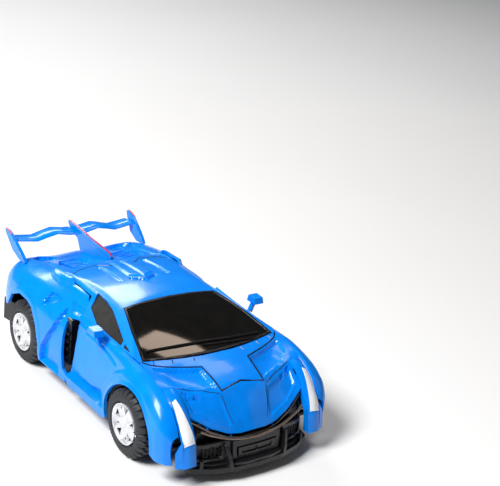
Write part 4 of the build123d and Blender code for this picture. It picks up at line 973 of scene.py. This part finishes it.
def build_chest_sides():
    cheek = prism("chest_side_right", [(-57.4, 8), (-57.4, 16), (-53.6, 20.4), (-49.6, 23.6), (-46.4, 23.6),
        (-46.4, 15), (-52, 9)], lambda y, z, k: (20.7 + 0.9 * k, y, z), "black_plastic", "chest")
    other_side(cheek, "chest")
    tray = [(-11.8, -56.8), (11.8, -56.8), (11.8, -38), (-11.8, -38)]
    prism("chest_tray", tray, lambda x, y, k: (x, y, 14.2 + 0.8 * k), "black_plastic", "chest")


def shade_line(name, plan, height, body, radius, sink):
    """Painted shade: black lines laid along a panel's seams and creases, right and left: plan points, with
    height(x, y) giving the level.
    """
    x, y = dense(plan, 1).T
    made = tube(name, xyz(x, y, height(x, y) - sink), radius, "black_plastic", body, sides=6)
    other_side(made, body)


def build_seam_shade():
    # painted shade: black lines darken the cowl seam, its notches, the lip and vent creases and the roof's
    # rear gap
    shade_line("cowl_seam_shade", WING_SEAM + TONGUE[1:], hood_height, "chest", 0.26, 0.02)
    for index, (x, y) in enumerate(((9.3, -37.2), (16.8, -35.8), (23, -34.3))):
        shade_line(f"cowl_notch_{index}", [(x, y), (x + 0.5, y - 1.4)], hood_height, "head", 0.17, 0.03)
    shade_line("lip_crease_shade", [(8.8, -53.3), (8, -56.4), (6.6, -59)], hood_height, "chest", 0.13, 0.05)
    shade_line("vent_crease_shade", [(9.4, -52.9), (15, -50.1), (22, -47.4)], hood_height, "chest", 0.15, 0.05)
    shade_line("roof_rear_gap_shade", [(x, y - 0.1) for x, y in ROOF_REAR], roof_height, "cabin", 0.24, 0.1)


build_nose()
build_chest_sides()
build_seam_shade()


# ---- robot: torso armour, foot and head
TORSO_LEVEL = 19.6
CHEVRON_LINE_Z = 18.06
RIB_Z = 19.45
WINDOW_Z = 17.9


def armour(name, outline, look, height=1.7, both=True, edge=True):
    """A bevelled plate under the torso face, with a pale moulded edge."""
    top = TORSO_LEVEL - height
    plate = prism(name, outline, lambda x, y, k: (x, y, TORSO_LEVEL + 0.1 - (height + 0.1) * k), look,
        "cabin", 0.32)
    made = [plate]
    if edge:
        middle = np.mean(np.array(outline, float), axis=0)
        loop = [tuple(middle + (np.array(p) - middle) * 0.97) for p in outline]
        made.append(tube(name + "_edge", [(x, y, top + 0.12) for x, y in loop + loop[:2]], 0.2, "white_edge",
            "cabin", sides=6, slot="cream_armour"))
    if both:
        for part in made:
            other_side(part, "cabin")
    return plate


def build_torso():
    upper = [(2.6, -29), (10.6, -28), (10.6, -21.4), (3.2, -20), (4.4, -24)]
    lower = [(3.6, -17.6), (8.2, -18.8), (10.8, -16.4), (8.6, -9.6), (4, -11.4)]
    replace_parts(armour("chest_plate_upper", upper, "gold_armour"), "chest_armour")
    armour("chest_plate_lower", lower, "gold_armour")
    for index, (y, width, depth) in enumerate(((-7.6, 6, 3.4), (-1, 5.2, 2.8))):
        chevron = [(0, y - 3.4), (width, y + 1.2), (width, y + depth + 1.2), (0, y + depth - 2.4),
            (-width, y + depth + 1.2), (-width, y + 1.2)]
        armour(f"chevron_{index}", chevron, "cream_armour", 1.5, both=False, edge=False)
        for half in (1, -1):
            line = [(0, y + 0.4 * depth - 2.6, CHEVRON_LINE_Z), (half * (width - 0.5), y + 0.4 * depth + 1.5,
                CHEVRON_LINE_Z)]
            tube(f"chevron_line_{index}_{'right' if half > 0 else 'left'}", line, 0.16, "gold_armour",
                "cabin", sides=6)
    hexagon = [(-2.8, 4.4), (2.8, 4.4), (5, 9.4), (3.2, 15.6), (-3.2, 15.6), (-5, 9.4)]
    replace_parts(armour("pelvis_plate", hexagon, "cream_armour", both=False, edge=False), "pelvis_armour")
    inset = [(-2, 5.7), (2, 5.7), (3.7, 9.5), (2.4, 14.4), (-2.4, 14.4), (-3.7, 9.5)]
    armour("pelvis_inset", inset, "gold_armour", 1.95, both=False, edge=False)
    armour("belt_plate", [(5.8, 7), (13.8, 6.6), (12.6, 9.2), (6.6, 9.6)], "cream_armour", 1.5)
    armour("vee_plate", [(7.6, 10.6), (12.6, 10.2), (10.4, 14.6)], "cream_armour", 1.5)
    thigh = armour("thigh_plate", [(7.8, 17), (12.6, 17), (12.4, 22.4), (8.2, 22.4)], "cream_armour", 1.6)
    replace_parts(thigh, "leg_armour")
    armour("knee_band", [(7.6, 23.2), (12.8, 23.2), (12.8, 25.2), (8, 25.2)], "cream_armour", 1.6)
    armour("shin_plate", [(7.6, 26.2), (12.8, 26.2), (11.6, 38.4), (8.8, 38.4)], "gold_armour")

    windows = ([(12.6, -28.4), (14.6, -28.4), (14.9, -20.6), (12.9, -20.6)],
               [(15.4, -28.4), (17.6, -28.4), (17.6, -20.6), (15.7, -20.6)],
               [(12.9, -19.4), (17.6, -19.4), (16.4, -15), (12.9, -16.6)])
    for index, window in enumerate(windows):
        loop = tube(f"shoulder_window_{index}", [(x, y, WINDOW_Z) for x, y in window + window[:2]], 0.2,
            "white_edge", "cabin", sides=6, slot="cream_armour")
        other_side(loop, "cabin")
    lines = [[(0, -31), (0, -20), (1.6, -15), (1.6, -12.4)], [(11.2, -14.6), (14, -12), (14, -9)],
        [(5.4, 16.6), (5.4, 40)], [(14.2, 16), (14.2, 34), (12.8, 39.6)], [(6.4, 16), (14, 15.6)], [(0, 16.4),
        (3.6, 16.4), (3.6, 20.4)], [(2, -19), (10.8, -20.4)]]
    for index, line in enumerate(lines):
        rib = tube(f"torso_rib_{index}", [(x, y, RIB_Z) for x, y in line], 0.34, "black_plastic", "cabin",
            sides=8)
        other_side(rib, "cabin")
    for index, (x, y, radius) in enumerate(((12.4, 3, 1.05), (8.6, 4.4, 1.2))):
        stud = tube(f"waist_stud_{index}", [(x, y, 19), (x, y, 18.15)], radius, "cream_armour", "cabin",
            sides=20)
        soften(stud, 0.2, 40)
        other_side(stud, "cabin")


SHIN_LIFT = 0.12


def shin_point(x, t):
    """A point just in front of the sloping shin: t runs from its foot to its top."""
    return (x, 4.4 + 2 * t - SHIN_LIFT, 9.6 + 6.6 * t + 0.3 * SHIN_LIFT)


def build_foot():
    for label, side in (("right", 1), ("left", -1)):
        rail = [shin_point(side * 14.6, 0.03), shin_point(side * 14.6, 0.66)]
        crown = [shin_point(side * (12.6 + 2 * math.cos(a)), 0.68 + 0.24 * math.sin(a))
            for a in np.linspace(0, math.pi, 9)]
        rail += crown + [shin_point(side * 10.6, 0.66), shin_point(side * 10.6, 0.03)]
        tube(f"ladder_frame_{label}", rail, 0.3, "black_plastic", "chassis", sides=8)
        for index, t in enumerate((0.24, 0.52)):
            tube(f"ladder_rung_{label}_{index}", [shin_point(side * 14.6, t), shin_point(side * 10.6, t)],
                0.26, "black_plastic", "chassis", sides=8)
        outline = [(9.2, 0.78), (5, 0.78), (5.8, 0.52), (6.5, 0.06), (7.9, 0.06), (8.4, 0.52)]
        loop = [shin_point(side * x, t) for x, t in outline + outline[:2]]
        tube(f"pedal_frame_{label}", loop, 0.28, "black_plastic", "chassis", sides=8)
        tube(f"pedal_bar_{label}", [shin_point(side * 8.4, 0.52), shin_point(side * 5.8, 0.52)], 0.22,
            "black_plastic", "chassis", sides=8)
        tube(f"deck_line_{label}", [(side * 8.4, 3.6, 9.62), (side * 9.6, -2.8, 9.62), (side * 14.8, -6.4,
            9.62)], 0.16, "black_plastic", "chassis", sides=6)
        prism(f"wall_stud_{label}", [(15.6, -0.85), (17.4, -0.85), (17.4, 0.85), (15.6, 0.85)],
            lambda z, out, k: (side * (22.95 + out * 0.6), 6.1 - 0.9 * k, z), "grey_trim", "chassis")
    tube("slot_catch_glint", [(3.4, -2.1, 9.3), (6, -2.1, 9.3)], 0.32, "brass_wire", "latch", sides=10)
    tube("shin_top_line", [shin_point(x, 0.97) for x in (-17.6, 17.6)], 0.14, "black_plastic", "chassis",
        sides=6)


HEAD_HINGE = (-39.2, 27.2)
HEAD_TILT = 108


def head_place(points):
    """Upright head coordinates, facing -Y above its hinge, into the folded car frame."""
    cos, sin = math.cos(math.radians(HEAD_TILT)), math.sin(math.radians(HEAD_TILT))
    x, y, z = np.asarray(points, float).T
    return xyz(x, HEAD_HINGE[0] + y * cos - z * sin, HEAD_HINGE[1] + y * sin + z * cos)


def build_head():
    """Plain robot head: a rounded helmet with a visor slot, and a simple mask."""
    rows, columns = 22, 36
    verts = []
    for r in range(rows + 1):
        lat = math.pi * r / rows
        for c in range(columns):
            a = 2 * math.pi * c / columns
            square = 1 / max(abs(math.cos(a)) ** 4 + abs(math.sin(a)) ** 4, 1e-6) ** 0.25
            ring = max(math.sin(lat), 0) ** 0.7
            front = 0.5 - 0.5 * math.sin(a)
            x = 3.95 * ring * square * math.cos(a)
            y = -5 + 2.55 * ring * square * math.sin(a)
            z = 8.15 + 4 * math.copysign(abs(math.cos(lat)) ** 0.8, math.cos(lat))
            if front > 0.55 and abs(x) < 2.9 and z < 10.3:
                y = max(y, -6.3)
            verts.append((x, y, z))
    helmet = piece("helmet_skin", head_place(verts), ring_faces(rows + 1, columns), "black_plastic", "head",
        42)
    tidy_normals(helmet)
    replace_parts(helmet, "helmet")

    def place_face(x, z):
        y = -6.75 + 0.07 * x**2
        y = y - 0.45 * (1 - step_up(np.abs(x), 0.3, 0.8)) * (1 - step_up(z, 8.6, 9.4)) * step_up(z, 6.9, 7.3)
        y = y + 0.5 * within([(0.55, 8.1), (2.4, 8.35), (2.3, 9), (0.6, 8.8)], pairs(np.abs(x), z), 0.2)
        y = y + 0.3 * (1 - step_up(np.abs(z - 6.15), 0.05, 0.22)) * (1 - step_up(np.abs(x), 1.2, 1.5))
        y = y - 0.3 * step_up(z, 4.4, 4.8) * (1 - step_up(z, 5.2, 5.6)) * (1 - step_up(np.abs(x), 1, 1.6))
        return head_place(xyz(x, y, z)).T

    mask = skin("face_skin", [(0, 4.15), (1.3, 4.3), (2.2, 5.4), (2.75, 7.4), (2.75, 9.9), (0, 10.1)],
        place_face, "silver_paint", "head", (0, -0.6, -1), lines=[[(0.2, 6.15), (1.4, 6.15)]], step=0.22,
        thick=0.5, mirrored=True, angle=35, bevel=0)
    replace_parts(mask, "robot_face")
    for label, side in (("right", 1), ("left", -1)):
        tube(f"eye_band_{label}", head_place([(side * 0.7, -6.85, 8.5), (side * 2.3, -6.5, 8.68)]), 0.3,
            "black_plastic", "head", sides=8)
        ear = tube(f"helmet_ear_{label}", head_place([(side * 3.75, -4.9, 8.2), (side * 4.7, -4.9, 8.2)]),
            1.35, "black_plastic", "head", sides=24)
        soften(ear, 0.25, 40)
    prism("helmet_crest", [(-7.55, 9.9), (-7.75, 10.9), (-5.9, 12.4), (-3.9, 12.55), (-3.9, 11.4),
        (-6.8, 10.2)], lambda y, z, k: head_place(xyz(-0.7 + 1.4 * k, y, z)).T, "black_plastic", "head")
    brow = [(-2.9, 0), (-1.2, -0.25), (0, -0.55), (1.2, -0.25), (2.9, 0)]
    line = [(x, -7.35 + 0.09 * x * x, 10.15 + z * 0.5) for x, z in brow]
    tube("helmet_brow", head_place(line), 0.32, "black_plastic", "head", sides=8)


build_torso()
build_foot()
build_head()


# ---- stage, light and camera
FLOOR_HALF = 6
LIGHTS = [  # name, place, aim, width, height, power, colour
    ("key", (-0.50, -0.05, 0.62), (0, 0, 0), 0.3, 0.3, 8.4, (1, 1, 1)),
    ("fill", (0.70, -0.45, 0.35), (0, 0, 0.02), 0.6, 0.4, 0.4, (1, 1, 1)),
    ("side", (-0.75, 0.05, 0.22), (0, 0, 0.02), 0.5, 0.25, 0.3, (1, 1, 1)),
    ("rear", (0.15, 0.75, 0.55), (0, 0, 0.02), 0.6, 0.12, 3.6, (1, 1, 1)),
    ("warm_card", (0.25, 0.155, 0.47), (0, -0.03, 0.033), 0.15, 0.08, 0.2, (1, 0.78, 0.62)),
]
CAMERA_PLACE = (-226, -333.8, 220.2)
CAMERA_TURN = (-38.33, 21.84, 6.54)
LENS, SENSOR = 91, 36


def studio():
    world = bpy.data.worlds.new("studio")
    bpy.context.scene.world = world
    world.use_nodes = True
    back = world.node_tree.nodes["Background"]
    back.inputs["Color"].default_value = (0.93, 0.96, 1, 1)
    back.inputs["Strength"].default_value = 0.06
    floor_mesh = bpy.data.meshes.new("floor")
    corners = [(x * FLOOR_HALF, y * FLOOR_HALF, 0) for x, y in ((-1, -1), (1, -1), (1, 1), (-1, 1))]
    floor_mesh.from_pydata(corners, [], [(0, 1, 2, 3)])
    floor = bpy.data.objects.new("floor", floor_mesh)
    bpy.context.scene.collection.objects.link(floor)
    pale = material("floor_paper", (0.9, 0.9, 0.9), 0.6, vary=0.01, scale=3, bump=0)
    floor_mesh.materials.append(pale)
    for name, place, aim, width, height, power, color in LIGHTS:
        lamp = bpy.data.lights.new(name, "AREA")
        lamp.color = color
        lamp.shape = "RECTANGLE"
        lamp.size, lamp.size_y, lamp.energy = width, height, power
        holder = bpy.data.objects.new(name, lamp)
        bpy.context.scene.collection.objects.link(holder)
        holder.location = place
        holder.rotation_euler = (Vector(aim) - Vector(place)).to_track_quat("-Z", "Y").to_euler()


def camera():
    azimuth, elevation, roll = (math.radians(turn) for turn in CAMERA_TURN)
    back = Vector((math.sin(azimuth) * math.cos(elevation), -math.cos(azimuth) * math.cos(elevation),
        math.sin(elevation)))
    right = Vector((math.cos(azimuth), math.sin(azimuth), 0))
    up = back.cross(right)
    across_image = math.cos(roll) * right + math.sin(roll) * up
    up_image = -math.sin(roll) * right + math.cos(roll) * up
    lens = bpy.data.cameras.new("camera")
    lens.sensor_width, lens.lens = SENSOR, LENS
    lens.clip_start = 0.01
    holder = bpy.data.objects.new("camera", lens)
    bpy.context.scene.collection.objects.link(holder)
    turn = Matrix((across_image, up_image, back)).transposed().to_4x4()
    holder.matrix_world = Matrix.Translation(Vector(CAMERA_PLACE) * MM) @ turn
    bpy.context.scene.camera = holder


studio()
camera()
bpy.context.scene.view_settings.view_transform = "Standard"
